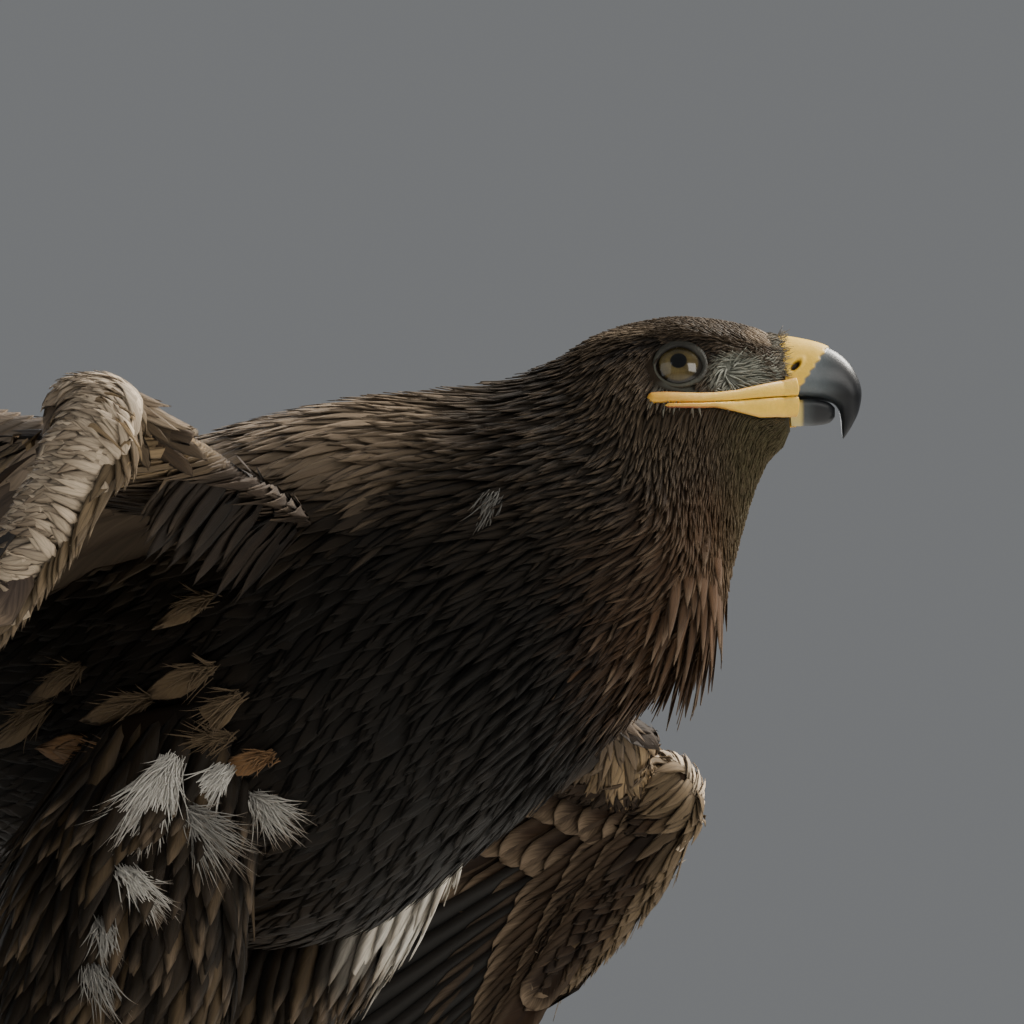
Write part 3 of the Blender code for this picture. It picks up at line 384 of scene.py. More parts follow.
def pathOn(surface, s0, t0, direction, length, f, sink, lift, limits=None, droop=None):
    # walks the table from the root along the direction; past a limit the feather runs on straight
    bySide = surface.read(surface.bySide, s0, t0)
    byLength = surface.read(surface.byLength, s0, t0)
    aa, ab, bb = (byLength**2).sum(-1), (byLength * bySide).sum(-1), (bySide**2).sum(-1)
    da, db = (direction * byLength).sum(-1), (direction * bySide).sum(-1)
    det = np.maximum(aa * bb - ab**2, 1e-18)
    stepS, stepT = (da * bb - db * ab) / det, (db * aa - da * ab) / det
    size = np.linalg.norm(byLength * stepS[:, None] + bySide * stepT[:, None], axis=-1)
    stepS, stepT = stepS / size * length, stepT / size * length
    s = s0[:, None] + stepS[:, None] * f
    t = t0[:, None] + stepT[:, None] * f
    share = np.ones_like(s)
    low, high = (0.0, surface.last) if limits is None else limits[0]
    for value, start, bottom, top in ((s, s0, low, high),) + (
            () if limits is None else ((t, t0, *limits[1]),)):
        moved = value - start[:, None]
        room = np.where(moved > 0, top - start[:, None], bottom - start[:, None])
        share = np.minimum(share, np.where(np.abs(moved) > np.abs(room), np.abs(room) / np.maximum(
            np.abs(moved), 1e-9), 1.0))
    s = s0[:, None] + (s - s0[:, None]) * share
    t = t0[:, None] + (t - t0[:, None]) * share
    points = surface.read(surface.rings, s, t)
    over = surface.read(surface.normals, s, t)
    run = (length[:, None] * f * (1 - share))[..., None] * unit(direction)[:, None]
    height = -sink[:, None] + (sink + lift)[:, None] * f
    path = points + run + over * height[..., None]
    if droop is not None:
        path = path + droop[:, None] * (f**2)[None, :, None] * length[:, None, None]
    return path, over


def grow(coat, surface, s0, t0, direction, length, width, kind, sink, lift, tint, mark,
         columns=3, lower=1, thickness=0.0003, cup=0.18, ragged=0.0, limits=None, droop=None, mirror=False):
    # feathers of one kind: a path from each root along its direction, with the kind's outline round it
    f = stationsOf[kind]
    path, over = pathOn(surface, s0, t0, direction, length, f, sink, lift, limits, droop)
    rings, across = vaneRings(path, over, width, outlines[kind], f, columns, lower, thickness, cup, ragged,
                              rng)
    rootUv = np.stack([t0 / surface.around, s0 / surface.last], -1)
    coat.add(rings, across, f, tint, mark, rootUv, mirror)


class Wire:
    # a number socket that can stand in a sum
    def __init__(self, paint, socket):
        self.paint, self.socket = paint, socket

    def output(self, number):
        # another output of the same node
        return Wire(self.paint, self.socket.node.outputs[number])

    def maths(self, operation, *values):
        return self.paint.node("ShaderNodeMath", {"operation": operation}, values)

    def __add__(self, other):
        return self.maths("ADD", self, other)

    def __radd__(self, other):
        return self.maths("ADD", other, self)

    def __sub__(self, other):
        return self.maths("SUBTRACT", self, other)

    def __rsub__(self, other):
        return self.maths("SUBTRACT", other, self)

    def __mul__(self, other):
        return self.maths("MULTIPLY", self, other)

    def __rmul__(self, other):
        return self.maths("MULTIPLY", other, self)

    def __truediv__(self, other):
        return self.maths("DIVIDE", self, other)

    def __pow__(self, other):
        return self.maths("POWER", self, other)

    def __gt__(self, other):
        return self.maths("GREATER_THAN", self, other)

    def size(self):
        return self.maths("ABSOLUTE", self)

    def between(self, low, high):
        # 0 at low, 1 at high, smooth in between
        return self.paint.node("ShaderNodeMapRange", {"interpolation_type": "SMOOTHSTEP"},
                               {"Value": self, "From Min": low, "From Max": high})


class Paint:
    # a material and its nodes
    def __init__(self, name, **constants):
        self.material = bpy.data.materials.new(name)
        self.material.use_nodes = True
        self.tree = self.material.node_tree
        self.shader = self.tree.nodes["Principled BSDF"]
        for label, value in constants.items():
            self.shader.inputs[label.replace("_", " ")].default_value = value

    def node(self, kind, settings=None, inputs=(), output=0):
        made = self.tree.nodes.new(kind)
        for label, value in (settings or {}).items():
            if label == "stops":
                while len(made.color_ramp.elements) < len(value):
                    made.color_ramp.elements.new(0.5)
                for element, (place, colour) in zip(made.color_ramp.elements, value):
                    element.position, element.color = place, (*colour, 1.0)
            else:
                setattr(made, label, value)
        for label, value in inputs.items() if isinstance(inputs, dict) else enumerate(inputs):
            if isinstance(value, Wire):
                self.tree.links.new(value.socket, made.inputs[label])
            else:
                made.inputs[label].default_value = value
        return Wire(self, made.outputs[output])

    def mix(self, share, first, second, how="MIX"):
        pair = [(*c, 1.0) if isinstance(c, tuple) and len(c) == 3 else c for c in (first, second)]
        return self.node("ShaderNodeMix", {"data_type": "RGBA", "blend_type": how},
                         {0: share, 6: pair[0], 7: pair[1]}, 2)

    def noise(self, place, scale, detail=3.0, rough=0.55):
        return self.node("ShaderNodeTexNoise", {}, {"Vector": place, "Scale": scale, "Detail": detail,
                                                    "Roughness": rough})

    def attribute(self, name):
        # a colour kept with the mesh's points; its alpha is output 3
        return self.node("ShaderNodeAttribute", {"attribute_name": name})

    def place(self):
        return self.node("ShaderNodeTexCoord", {}, (), 3)  # the place on the object, in metres

    def shaded(self, colour, level, share=1.0):
        # the colour times a grey of this level
        grey = self.node("ShaderNodeCombineColor", {}, (level,) * 3)
        return self.mix(share, colour, grey, "MULTIPLY")

    def finish(self, **sockets):
        for label, value in sockets.items():
            self.tree.links.new(value.socket, self.shader.inputs[label.replace("_", " ")])
        return self.material


def featherPaint(name, values):
    # the tint, with a paler edge and tip and a dark shaft over it, times a level that varies with the barbs
    # and falls towards the root as painted shade
    paint = Paint(name, Specular_IOR_Level=values["gloss"], Sheen_Weight=values["sheen"],
                  Sheen_Roughness=0.4)
    vane = paint.node("ShaderNodeUVMap", {"uv_map": "vane"})
    cut = paint.node("ShaderNodeSeparateXYZ", {}, (vane,))
    across, along = cut, cut.output(1)
    tint = paint.attribute("tint")
    chance = tint.output(3)
    parts = paint.node("ShaderNodeSeparateColor", {}, (paint.attribute("mark"),))
    tipShare, edgeShare, shaft = (parts.output(i) for i in range(3))
    fromShaft = (across * 2 - 1).size()
    # barbs lean forwards: along each one acrossLines * distance - alongLines * length stays the same
    line = fromShaft * values["acrossLines"] - along * values["alongLines"]
    place = paint.node("ShaderNodeCombineXYZ", {},
                       (line, along * 2.5, chance * 37.0 + (across > 0.5) * 9.0))
    barbs = paint.noise(place, 1.0, 3.0, 0.6)
    blotch = paint.noise(paint.node("ShaderNodeCombineXYZ", {}, (across * 1.6, along * 2.5, chance * 91.0)),
                         1.0, 2.0)
    edge = (fromShaft + (blotch - 0.5) * 0.5).between(0.45, 1.0) * edgeShare
    tip = (along + (barbs - 0.5) * 0.22 + (blotch - 0.5) * 0.2).between(*values["tipFrom"]) * tipShare
    colour = paint.mix(edge, tint, values["edgeColour"])
    colour = paint.mix(tip, colour, values["tipColour"])
    line = (1.0 - fromShaft.between(0.03, 0.14)) * shaft
    colour = paint.mix(line * values["shaftShare"], colour, values["shaftColour"])
    level = (1.0 + (barbs - 0.5) * values["barbDepth"]) * (0.9 + chance * 0.2)
    # painted shade: each feather is darker towards its root, where the feathers above it overlap it
    level = level * (0.84 + along.between(0.0, 0.6) * 0.16)
    colour = paint.shaded(colour, level)
    normal = paint.node("ShaderNodeBump", {},
                        {"Strength": values["bump"], "Distance": 0.0004, "Height": barbs})
    rough = values["roughness"] + (barbs - 0.5) * 0.2
    return paint.finish(Base_Color=colour, Roughness=rough, Normal=normal)


featherLooks = {
    "gloss": 0.22, "sheen": 0.02, "acrossLines": 9.0, "alongLines": 24.0, "barbDepth": 1.1,
    "bump": 0.8, "roughness": 0.70, "tipFrom": (0.66, 0.97), "edgeColour": (0.085, 0.060, 0.040),
    "tipColour": (0.20, 0.145, 0.095), "shaftColour": (0.014, 0.009, 0.006), "shaftShare": 0.35,
}
plumagePaint = featherPaint("plumagePaint", featherLooks)
facePaint = featherPaint("facePaint",
                         {**featherLooks, "acrossLines": 1.5, "alongLines": 2.0, "barbDepth": 0.7,
                                       "bump": 0.1})


# Colours of the plumage, linear red, green and blue, by the place on the flat drawing.
plumageColours = {
    # flank, belly and breast: the dark brown plumage darkened further, as painted shade on the underside of
    # the body
    "mantle": (0.190, 0.140, 0.092), "flank": (0.0070, 0.0044, 0.0021), "belly": (0.016, 0.010, 0.005),
    "breast": (0.0034, 0.0023, 0.0012), "neck": (0.014, 0.0095, 0.0052), "throat": (0.100, 0.052, 0.024),
    "head": (0.044, 0.030, 0.017), "brow": (0.010, 0.0065, 0.004), "crown": (0.040, 0.027, 0.015),
    "streak": (0.240, 0.180, 0.120), "lore": (0.175, 0.178, 0.145), "chin": (0.062, 0.052, 0.024),
    "rump": (0.080, 0.052, 0.030),
}


def patch(along, height, centre, size):
    # 1 inside an oval of the head's side, softly 0 outside it
    far = np.hypot((along - centre[0]) / size[0], (height - centre[1]) / size[1])
    return 1 - smooth(far, 0.7, 1.25)


def plumageTint(flat):
    # mixes the named colours one over another, from tail to bill and from back to belly
    along, height = flat[..., 0], flat[..., 2]
    colour = {name: np.array(value) for name, value in plumageColours.items()}

    def lay(under, name, share):
        return under + (colour[name] - under) * np.asarray(share)[..., None]

    tint = np.broadcast_to(colour["mantle"], flat.shape)
    # darker towards the belly and breast: the dark brown plumage with painted shade on the underside over
    # it
    tint = lay(tint, "flank", smooth(-height, -0.425, -0.375))
    tint = lay(tint, "belly", smooth(-height, -0.310, -0.250))
    tint = lay(tint, "rump", smooth(-along, 0.24, 0.31) * 0.6)
    tint = lay(tint, "breast", smooth(along, -0.085, -0.020) * smooth(-height, -0.415, -0.370))
    tint = lay(tint, "neck", smooth(along, -0.004, 0.030) * smooth(height, 0.34, 0.39))
    front = smooth(along - (0.078 + (height - 0.30) * 0.14), -0.040, 0.010)
    tint = lay(tint, "throat",
               front * smooth(along, 0.02, 0.05) * (1 - smooth(height, 0.395, 0.425)) * 0.85)
    tint = lay(tint, "head",
               smooth(along + 0.35 * (height - 0.45), 0.040, 0.066) * smooth(height, 0.405, 0.430))
    tint = lay(tint, "crown", smooth(height, 0.457, 0.466) * smooth(along, 0.03, 0.06))
    tint = lay(tint, "chin", smooth(along, 0.085, 0.105) * (1 - smooth(height, 0.428, 0.438)))
    path = 0.4560 + 0.0068 * np.exp(-(((along - 0.070) / 0.018) ** 2)) - 0.14 * np.maximum(along - 0.085, 0)
    brow = np.exp(-(((height - path) / 0.0030) ** 2)) * smooth(along, 0.044,
                                                               0.054) * (1 - smooth(along, 0.098, 0.108))
    tint = lay(tint, "brow", np.clip(brow * 1.1, 0, 1))
    tint = lay(tint, "streak", patch(along, height, (0.060, 0.4690), (0.010, 0.0022)) * 0.7)
    tint = lay(tint, "streak", patch(along, height, (0.112, 0.4655), (0.008, 0.0040)) * 0.9)
    tint = lay(tint, "lore", patch(along, height, (0.101, 0.4495), (0.0125, 0.0085)))
    tint = lay(tint, "lore", patch(along, height, (0.080, 0.4420), (0.012, 0.0030)) * 0.8)
    return tint


print("body")
placesAlong = np.linspace(0, lastRow, bodyShape["lengths"])
bodyFlat = flatRings(bodyShape["rows"], placesAlong, bodyShape["around"], headForms)
body = Surface(posed(bodyFlat), bodyFlat)
bodyPlace = np.broadcast_to(placesAlong[:, None], bodyFlat.shape[:2])

coatRows = {  # by the place along the body; lengths in metres
    "place": (0.0, 4.0, 6.0, 7.0, 8.0, 8.8, 9.6, 10.6, 13.0),
    "length": (0.048, 0.046, 0.040, 0.034, 0.028, 0.019, 0.0125, 0.0085, 0.0058),
    "half": (0.0062, 0.0058, 0.0044, 0.0028, 0.0021, 0.0015, 0.0010, 0.00062, 0.00042),
    "rowStep": (0.0085, 0.0082, 0.0072, 0.0062, 0.0048, 0.0033, 0.0022, 0.0016, 0.0012),
    "sideStep": (0.0056, 0.0052, 0.0042, 0.0031, 0.0024, 0.0017, 0.0012, 0.0009, 0.00075),
    "lift": (0.0012, 0.0012, 0.0016, 0.0026, 0.0026, 0.0018, 0.0012, 0.0007, 0.0004),
    "sink": (0.0040, 0.0040, 0.0040, 0.0040, 0.0035, 0.0028, 0.0018, 0.0012, 0.0009),
    "down": (0.10, 0.16, 0.22, 0.30, 0.30, 0.25, 0.30, 0.35, 0.35),
}


lipShape = {  # by the place along the head: how tall the strip is above and below the line of the mouth
    "upper": ((0.0640, 0.0700, 0.0880, 0.0965, 0.1127, 0.1215),
              (0.0046, 0.0050, 0.0040, 0.0042, 0.0062, 0.0076)),
    "lower": ((0.0640, 0.0880, 0.0965, 0.1060, 0.1215), (0.0016, 0.0020, 0.0046, 0.0078, 0.0086)),
    "rear": {"upper": 0.0640, "lower": 0.0700}, "thick": 0.0016, "leavesHead": 0.1150, "half": 0.015,
    "narrows": 0.45,
    "front": 0.1208, "steps": 110, "sides": 36,
}


def rowValue(name, place):
    # one column of the coat's table, straight between its places
    return np.interp(place, coatRows["place"], coatRows[name])


def outsideBody(points, depth):
    # true for points outside the body: how far each stands along the normal of the nearest ring point
    near = body.rings[::8, ::8].reshape(-1, 3)
    normals = body.normals[::8, ::8].reshape(-1, 3)
    away = ((points[:, None, :] - near[None]) ** 2).sum(-1).argmin(1)
    return ((points - near[away]) * normals[away]).sum(-1) > -depth


def bristles(coat):
    # fine hairs that lean forwards over the rear edge of the cere
    count = 900
    s = body.last * (1 - rng.uniform(0.0, 0.030, count))
    t = rng.uniform(-0.30, 0.30, count) * body.around
    flat = body.read(body.flat, s, t)
    keep = (flat[:, 2] > mouthHeight(flat[:, 0]) + 0.0085)
    s, t, flat = s[keep], t[keep], flat[keep]
    count = len(s)
    ahead = unit(body.read(body.byLength, s, t)) + np.array((0, 0, 0.35)) + rng.normal(0, 0.28, (count, 3))
    tint = blendOf(np.array(plumageColours["lore"]), np.array(plumageColours["streak"]),
                   rng.random((count, 1)))
    tint = tint * rng.uniform(0.35, 1.0, (count, 1))
    grow(coat, body, s, t, unit(ahead), rng.uniform(0.0028, 0.0062, count), np.full(count, 0.00018), "hair",
         np.full(count, 0.0003), np.full(count, 0.0009), tint, np.zeros((count, 3)), columns=2)


def bodyCoat():
    # shingled rows over the body, pointing back and down, as long and wide as the table has them there
    s, t = body.places(rowValue("rowStep", bodyPlace), rowValue("sideStep", bodyPlace), 0.30, rng)
    place = s / body.last * lastRow
    flat = body.read(body.flat, s, t)
    along, across, height = flat.T
    eyeFar = np.hypot(along - face["eye"][0], height - face["eye"][1])
    over = height - mouthHeight(along)
    bare = (eyeFar < 0.0102) & (np.abs(across) > 0.012)
    onLip = (over < np.interp(along, *lipShape["upper"]) + 0.0004) & (over > -np.interp(along,
                                                                                        *lipShape["lower"]))
    bare |= onLip & (along > 0.0635) & (np.abs(across) > 0.006)
    lore = patch(along, height, (0.103, 0.4490), (0.0110, 0.0070))
    under = patch(along, height, (0.082, 0.4420), (0.011, 0.0024))
    thin = np.maximum(lore, under) * (np.abs(across) > 0.01)
    keep = ~bare & (rng.random(len(s)) > thin * 0.45)
    s, t, place, flat, along, across, height, thin = (
        v[keep] for v in (s, t, place, flat, along, across, height, thin))
    count = len(s)
    back = -unit(body.read(body.byLength, s, t))
    drop = rowValue("down", place) * smooth(np.abs(across), 0.0, 0.03)
    drop = np.where(height > 0.462, 0.0, drop)
    direction = unit(back + np.array((0, 0, -1.0)) * drop[:, None])
    spray = rng.normal(0, 1, (count, 3)) * np.where(place > 8.6, 0.10, 0.13)[:, None]
    # the lores' bristles radiate forwards and up from before the eye
    radiate = posed(flat + np.stack([np.full(count, 0.001), np.zeros(count), (height - 0.4475) * 0.10],
                                    -1)) - posed(flat)
    direction = unit(direction * (1 - thin[:, None]) + unit(radiate) * thin[:, None] * 0.9 + spray)
    length = rowValue("length", place) * rng.uniform(0.70, 1.25, count)
    half = rowValue("half", place) * rng.uniform(0.85, 1.15, count)
    sink, lift = rowValue("sink", place), rowValue("lift", place) * rng.uniform(0.5, 1.4, count)
    tint = plumageTint(flat) * rng.uniform(0.82, 1.20, (count, 1))
    upper = smooth(height, 0.375, 0.415)
    tip = np.interp(place, (0, 4, 5.5, 6.5, 8.5, 10, 13), (0.55, 0.50, 0.30, 0.20, 0.35, 0.45, 0.25))
    tip = tip * rng.uniform(0.0, 1.25, count) * (0.10 + 0.90 * np.where(place < 8, upper, 1.0))
    edge = np.interp(place, (0, 5, 7, 13), (0.6, 0.5, 0.2, 0.1)) * rng.uniform(0.2, 1.0, count) * (
        0.06 + 0.94 * np.where(place < 8, upper, 1.0))
    shaft = np.interp(place, (0, 6, 9), (0.8, 0.5, 0.0))
    mark = np.stack([tip, edge, shaft], -1)
    split = 0.345 + 0.02 * np.sin(along * 40)
    kinds = (("mantleCoat", (place < 6.2) & (height >= split), "contour", "torso"),
             ("bellyCoat", (place < 6.2) & (height < split), "contour", "torso"),
             ("neckCoat", (place >= 6.2) & (place < 8.5), "lancet", "neck"),
             ("napeCoat", (place >= 8.5) & (place < 10.4), "lancet", "head"),
             ("faceCoat", place >= 10.4, "hair", "head"))
    for name, w, kind, node in kinds:
        coat = Coat()
        if name == "faceCoat":
            bristles(coat)
        wide = {"columns": 7, "ragged": 0.075, "cup": 0.03, "thickness": 0.0003} if kind == "contour" else {
            "ragged": 0.04 if node == "neck" else 0.0, "cup": 0.25, "thickness": 0.0004}
        grow(coat, body, s[w], t[w], direction[w], length[w], half[w], kind, sink[w], lift[w], tint[w],
             mark[w],
             **wide)
        coat.build(name, facePaint if node == "head" else plumagePaint, (node,))


bodyCoat()

hackleRows = (  # place along the body, how many, length, how far back they lean
    (8.95, 15, 0.030, 0.05), (8.70, 17, 0.038, 0.10), (8.45, 19, 0.044, 0.14), (8.20, 19, 0.046, 0.22),
    (7.95, 19, 0.044, 0.32), (7.70, 19, 0.040, 0.44), (7.40, 19, 0.034, 0.58), (7.10, 19, 0.030, 0.70),
)


def hackles():
    # loose pointed feathers that hang from the lower side of the neck, drawn flat and then posed with it
    coat = Coat()
    for place, count, length, lean in hackleRows:
        row = curveRows(bodyShape["rows"], np.full(count, place))
        turn = np.linspace(-0.95, 0.95, count) + rng.normal(0, 0.03, count)
        middle = np.stack([(row[:, 0] + row[:, 2]) / 2, np.zeros(count), (row[:, 1] + row[:, 3]) / 2], -1)
        half = np.stack([(row[:, 2] - row[:, 0]) / 2, row[:, 4], (row[:, 3] - row[:, 1]) / 2], -1)
        outward = half * np.stack([np.cos(turn), np.sin(turn), np.cos(turn)], -1)
        root = middle + outward * 0.94
        outward = unit(outward)
        fall = np.stack([np.full(count, -lean), 0.12 * np.sin(turn),
                         np.full(count, -math.sqrt(1 - lean**2))], -1)
        fall = unit(fall + outward * rng.uniform(0.06, 0.22, (count, 1)) + rng.normal(0, 0.05, (count, 3)))
        size = length * rng.uniform(0.8, 1.15, count) * (1 - 0.25 * np.abs(turn))
        f = np.linspace(0, 1, 8)
        path = root[:, None] + fall[:, None] * (size[:, None] * f)[..., None]
        path = path - outward[:, None] * (1.6 * (size[:, None] * f) ** 2)[..., None]
        over = np.broadcast_to(outward[:, None], path.shape)
        path, over = posed(path), unit(posed(path + over * 0.002) - posed(path))
        rings, across = vaneRings(path, over, rng.uniform(0.0024, 0.0036, count), outlines["lancet"], f, 5,
                                  1,
                                  0.0004, 0.15, 0.03, rng)
        tint = plumageTint(root) * rng.uniform(0.6, 1.5, (count, 1))
        tint = blendOf(tint, np.array(plumageColours["throat"]), rng.uniform(0.1, 0.6, (count, 1)))
        mark = np.stack([rng.uniform(0.1, 0.7, count), rng.uniform(0.1, 0.5, count), np.full(count, 0.6)],
                        -1)
        coat.add(rings, across, f, tint, mark,
                 np.stack([0.5 + turn / 7, np.full(count, place / lastRow)], -1))
    coat.build("hackles", plumagePaint, ("neck",))


hackles()

print("wings")
wingShape = {
    "wrist": {"right": (-0.030, 0.262, 0.370), "left": (-0.050, 0.262, 0.322)},
    "elbow": {"right": (-0.188, 0.165, 0.426), "left": (-0.205, 0.165, 0.376)},
    "shoulder": {"right": (-0.052, 0.062, 0.382), "left": (-0.056, 0.062, 0.372)},
    "turn": {"right": math.radians(5), "left": math.radians(-9)},
    "handLength": 0.095, "handAngle": math.radians(117), "primaryCurve": 0.34, "layer": 0.0011,
    "wristCut": -0.014, "secondaries": 11, "primaries": 10, "chordwise": 41, "spanwise": 121,
}
layer = wingShape["layer"]
handLength = wingShape["handLength"]


class Sheet:
    # a gently curved sheet: (a, b, c) is a along the arm, b behind it and c over it, less sag * b^2
    def __init__(self, origin, arm, behind, sag):
        self.origin, self.sag = np.asarray(origin, float), sag
        self.arm = unit(np.asarray(arm, float))
        self.behind = unit(behind - self.arm * (behind @ self.arm))
        self.over = np.cross(self.arm, self.behind)

    def place(self, a, b, c):
        a, b, c = np.broadcast_arrays(a, b, c)
        low = self.sag * np.maximum(b, 0.0) ** 2
        return (self.origin + a[..., None] * self.arm + b[..., None] * self.behind
                + (c - low)[..., None] * self.over)


def wingSheet(side):
    # the sheet that carries the flight feathers: it starts at the wrist, in line with the forearm
    wrist = np.array(wingShape["wrist"][side])
    arm = wrist - np.array(wingShape["elbow"][side])
    return Sheet(wrist, arm, np.array((-0.71, 0.0, -0.70)), 0.55), np.linalg.norm(arm)


def wingSurfaces(side):
    # edge points, upright direction and thickness, carried smoothly from the body to the tip of the hand
    sheet, reach = wingSheet(side)
    shoulder = np.array(wingShape["shoulder"][side])
    front = sheet.place(0.004, -0.017, 0.0)
    end = 1 + wingShape["wristCut"] / reach
    share = np.linspace(-0.12, end, 10)
    stretch = np.maximum(share, 0.0)
    trailing = sheet.place(-reach * (1 - stretch), 0.012, 12 * layer * (1 - stretch))
    leading = shoulder + (front - shoulder) * stretch[:, None]
    leading = leading + np.array((0.006, 0, -0.004)) * np.sin(math.pi * stretch)[:, None]
    inward = np.minimum(share, 0.0)[:, None] * np.array((0.0, 0.35, 0.0))
    leading, trailing = leading + inward, trailing + inward
    leading[-1] = sheet.place(wingShape["wristCut"], -0.018, 0.0)
    upright = np.array((0.20, 0.10, 0.97)) * (1 - stretch)[:, None] + sheet.over * stretch[:, None]
    thickness = 0.018 + 0.010 * stretch
    # the wrist's fan, then the hand
    fanFront = np.array(((-0.002, -0.0210), (0.009, -0.0175), (0.0165, -0.008), (0.0192, 0.003)))
    fanBack = np.array(((-0.0150, 0.0130), (-0.0165, 0.0145), (-0.0180, 0.0165), (-0.0195, 0.0190)))
    angle = wingShape["handAngle"] + wingShape["turn"][side]
    alongHand = np.array((math.cos(angle), math.sin(angle)))
    acrossHand = np.array((math.sin(angle), -math.cos(angle)))
    hand = np.array((0.0, 0.2, 0.45, 0.7, 0.95, 1.12, 1.18))
    wide = np.sqrt(1 - (hand / 1.2) ** 4)
    ahead = (0.0205 + 0.004 * np.exp(-(((hand - 0.45) / 0.35) ** 2))) * wide
    behind = 0.0095 * wide
    frontAt = alongHand * handLength * hand[:, None] + acrossHand * ahead[:, None]
    backShare = 0.3 + hand * 0.75
    backAt = alongHand * handLength * backShare[:, None] - acrossHand * behind[:, None]
    fanLayer = np.full(4, -0.0008)
    handLayer = -0.0015 - layer * 9 * np.clip(hand, 0, 1)
    ab = np.concatenate([fanFront, frontAt])
    back = np.concatenate([fanBack, backAt])
    c = np.concatenate([fanLayer, handLayer])
    leading = np.concatenate([leading, sheet.place(ab[:, 0], ab[:, 1], c)])
    trailing = np.concatenate([trailing, sheet.place(back[:, 0], back[:, 1], c)])
    upright = np.concatenate([upright, np.broadcast_to(sheet.over, (11, 3))])
    thickness = np.concatenate([thickness, np.full(4, 0.026), (0.022 - 0.009 * hand) * wide])
    rows = np.concatenate([leading, trailing, upright, thickness[:, None]], axis=1)
    rows = curveRows(rows, np.linspace(0, len(rows) - 1, wingShape["spanwise"]))
    leading, trailing, upright, thickness = rows[:, :3], rows[:, 3:6], rows[:, 6:9], rows[:, 9]
    chord = trailing - leading
    upright = unit(upright - chord * ((upright * chord).sum(-1) / (chord**2).sum(-1))[:, None])
    share = ((1 - np.cos(np.linspace(0, math.pi, wingShape["chordwise"]))) / 2)[:, None, None]
    rise = 2.2 * np.sqrt(share) * (1 - share) ** 0.8 + 0.10 * share
    line = leading + share * chord
    top = line + 0.62 * thickness[:, None] * rise * upright
    low = line - 0.42 * thickness[:, None] * rise * upright
    middle = (leading + trailing)[None] / 2
    dorsal = Surface(top[::-1], inside=middle - 0.01 * upright, closed=False)
    ventral = Surface(low[::-1], inside=middle + 0.01 * upright, closed=False)
    flesh = np.swapaxes(np.concatenate([top, low[-2:0:-1]]), 0, 1)
    return dorsal, ventral, flesh


def secondaryPlace(share, reach):
    # where a shaft starts on the sheet, its turn and its level, by its share of the way from elbow to wrist
    a = -reach * (1 - share) - 0.004
    return a, 0.004 + 0.004 * share, np.radians(153 - 15 * share), 12 * layer * (1 - share)


longVane = ((0, 0.30, 0.75, 0.94, 1.0), (0.30, 0.98, 0.96, 0.60, 0.16))
shortVane = ((0, 0.45, 0.82, 0.95, 1.0), (0.4, 1.0, 0.92, 0.58, 0.16))


def quills(coat, sheet, a, b, angle, length, ahead, behind, level, curve, outline, tint, mark, side,
           mirror=1,
           columns=9, stations=25, dip=0.0):
    # big feathers on the sheet: the shaft turns by curve * share^1.5, and the vane is wider behind it
    a, b, angle, length, ahead, behind, level = np.broadcast_arrays(
        *(np.atleast_1d(np.asarray(v, float)) for v in (a, b, angle, length, ahead, behind, level)))
    f = (1 - np.cos(np.linspace(0, math.pi, stations))) / 2
    f = 0.5 * f + 0.5 * np.linspace(0, 1, stations)
    fine = np.linspace(0, 1, 101)
    turned = angle[:, None] + curve * fine**1.5
    wayA = runningSum(np.cos(turned), 100)
    wayB = runningSum(np.sin(turned), 100)
    pick = np.round(f * 100).astype(int)
    f = fine[pick]
    turned = turned[:, pick]
    shaftA = a[:, None] + wayA[:, pick] * length[:, None]
    shaftB = b[:, None] + wayB[:, pick] * length[:, None]
    full = np.interp(f, *outline)
    x = np.linspace(-1, 1, columns)
    reach = np.where(x < 0, -x * behind[:, None], x * ahead[:, None])[:, None, :] * full[None, :, None]
    sign = np.sign(x)[None, None, :] * mirror
    splay = 0.25 * np.where(full < 0.95, 1 - full, 0.0) * f
    slip = rng.uniform(-1, 1, (len(a), 1, columns)) * 0.0015 * f[None, :, None] ** 6
    backward = (reach * splay[None, :, None] - slip)
    allA = (shaftA[..., None] + np.sin(turned)[..., None] * reach * sign - np.cos(turned)[...,
                                                                                          None] * backward)
    allB = (shaftB[..., None] - np.cos(turned)[..., None] * reach * sign - np.sin(turned)[...,
                                                                                          None] * backward)
    crown = 0.0006 * (1 - np.abs(x)) ** 3 - 0.0012 * np.abs(x) ** 2
    level = level[:, None, None] - dip * (1 - f[None, :, None]) ** 3 + crown
    top = sheet.place(allA, allB, level + 0.00025)
    low = sheet.place(allA, allB, level - 0.00025)
    rings = np.concatenate([top[:, :, ::-1], low], axis=2) if mirror > 0 else np.concatenate(
        [top, low[:, :, ::-1]], axis=2)
    across = np.concatenate([x[::-1], x]) if mirror > 0 else np.concatenate([x, x[::-1]])
    rootUv = np.stack([0.5 + a, 0.5 + b], -1)
    coat.add(rings, (across + 1) / 2, f, tint, mark, rootUv, side == "right")


wingColours = {
    "quill": (0.014, 0.010, 0.008), "primary": (0.007, 0.006, 0.005), "covert": (0.075, 0.052, 0.035),
    "lesser": (0.210, 0.155, 0.105), "rim": (0.500, 0.400, 0.290), "underside": (0.020, 0.0095, 0.0035),
    "underBand": (0.30, 0.28, 0.25), "underRim": (0.130, 0.092, 0.052), "tertial": (0.055, 0.037, 0.024),
    "scapular": (0.110, 0.080, 0.052), "golden": (0.230, 0.160, 0.085), "cream": (0.620, 0.500, 0.360),
}


wingRows = (  # below or above, how far along the shafts they start, length, colour, pale tips
    (False, 0.030, 0.088, "covert", 0.9), (False, 0.008, 0.062, "covert", 0.9),
    (False, -0.012, 0.044, "lesser", 0.8),
    (True, 0.050, 0.085, "quill", 0.3), (True, 0.026, 0.070, "underside", 0.9),
    (True, 0.004, 0.056, "underside", 0.7),
    (True, -0.014, 0.042, "underside", 0.8),
)


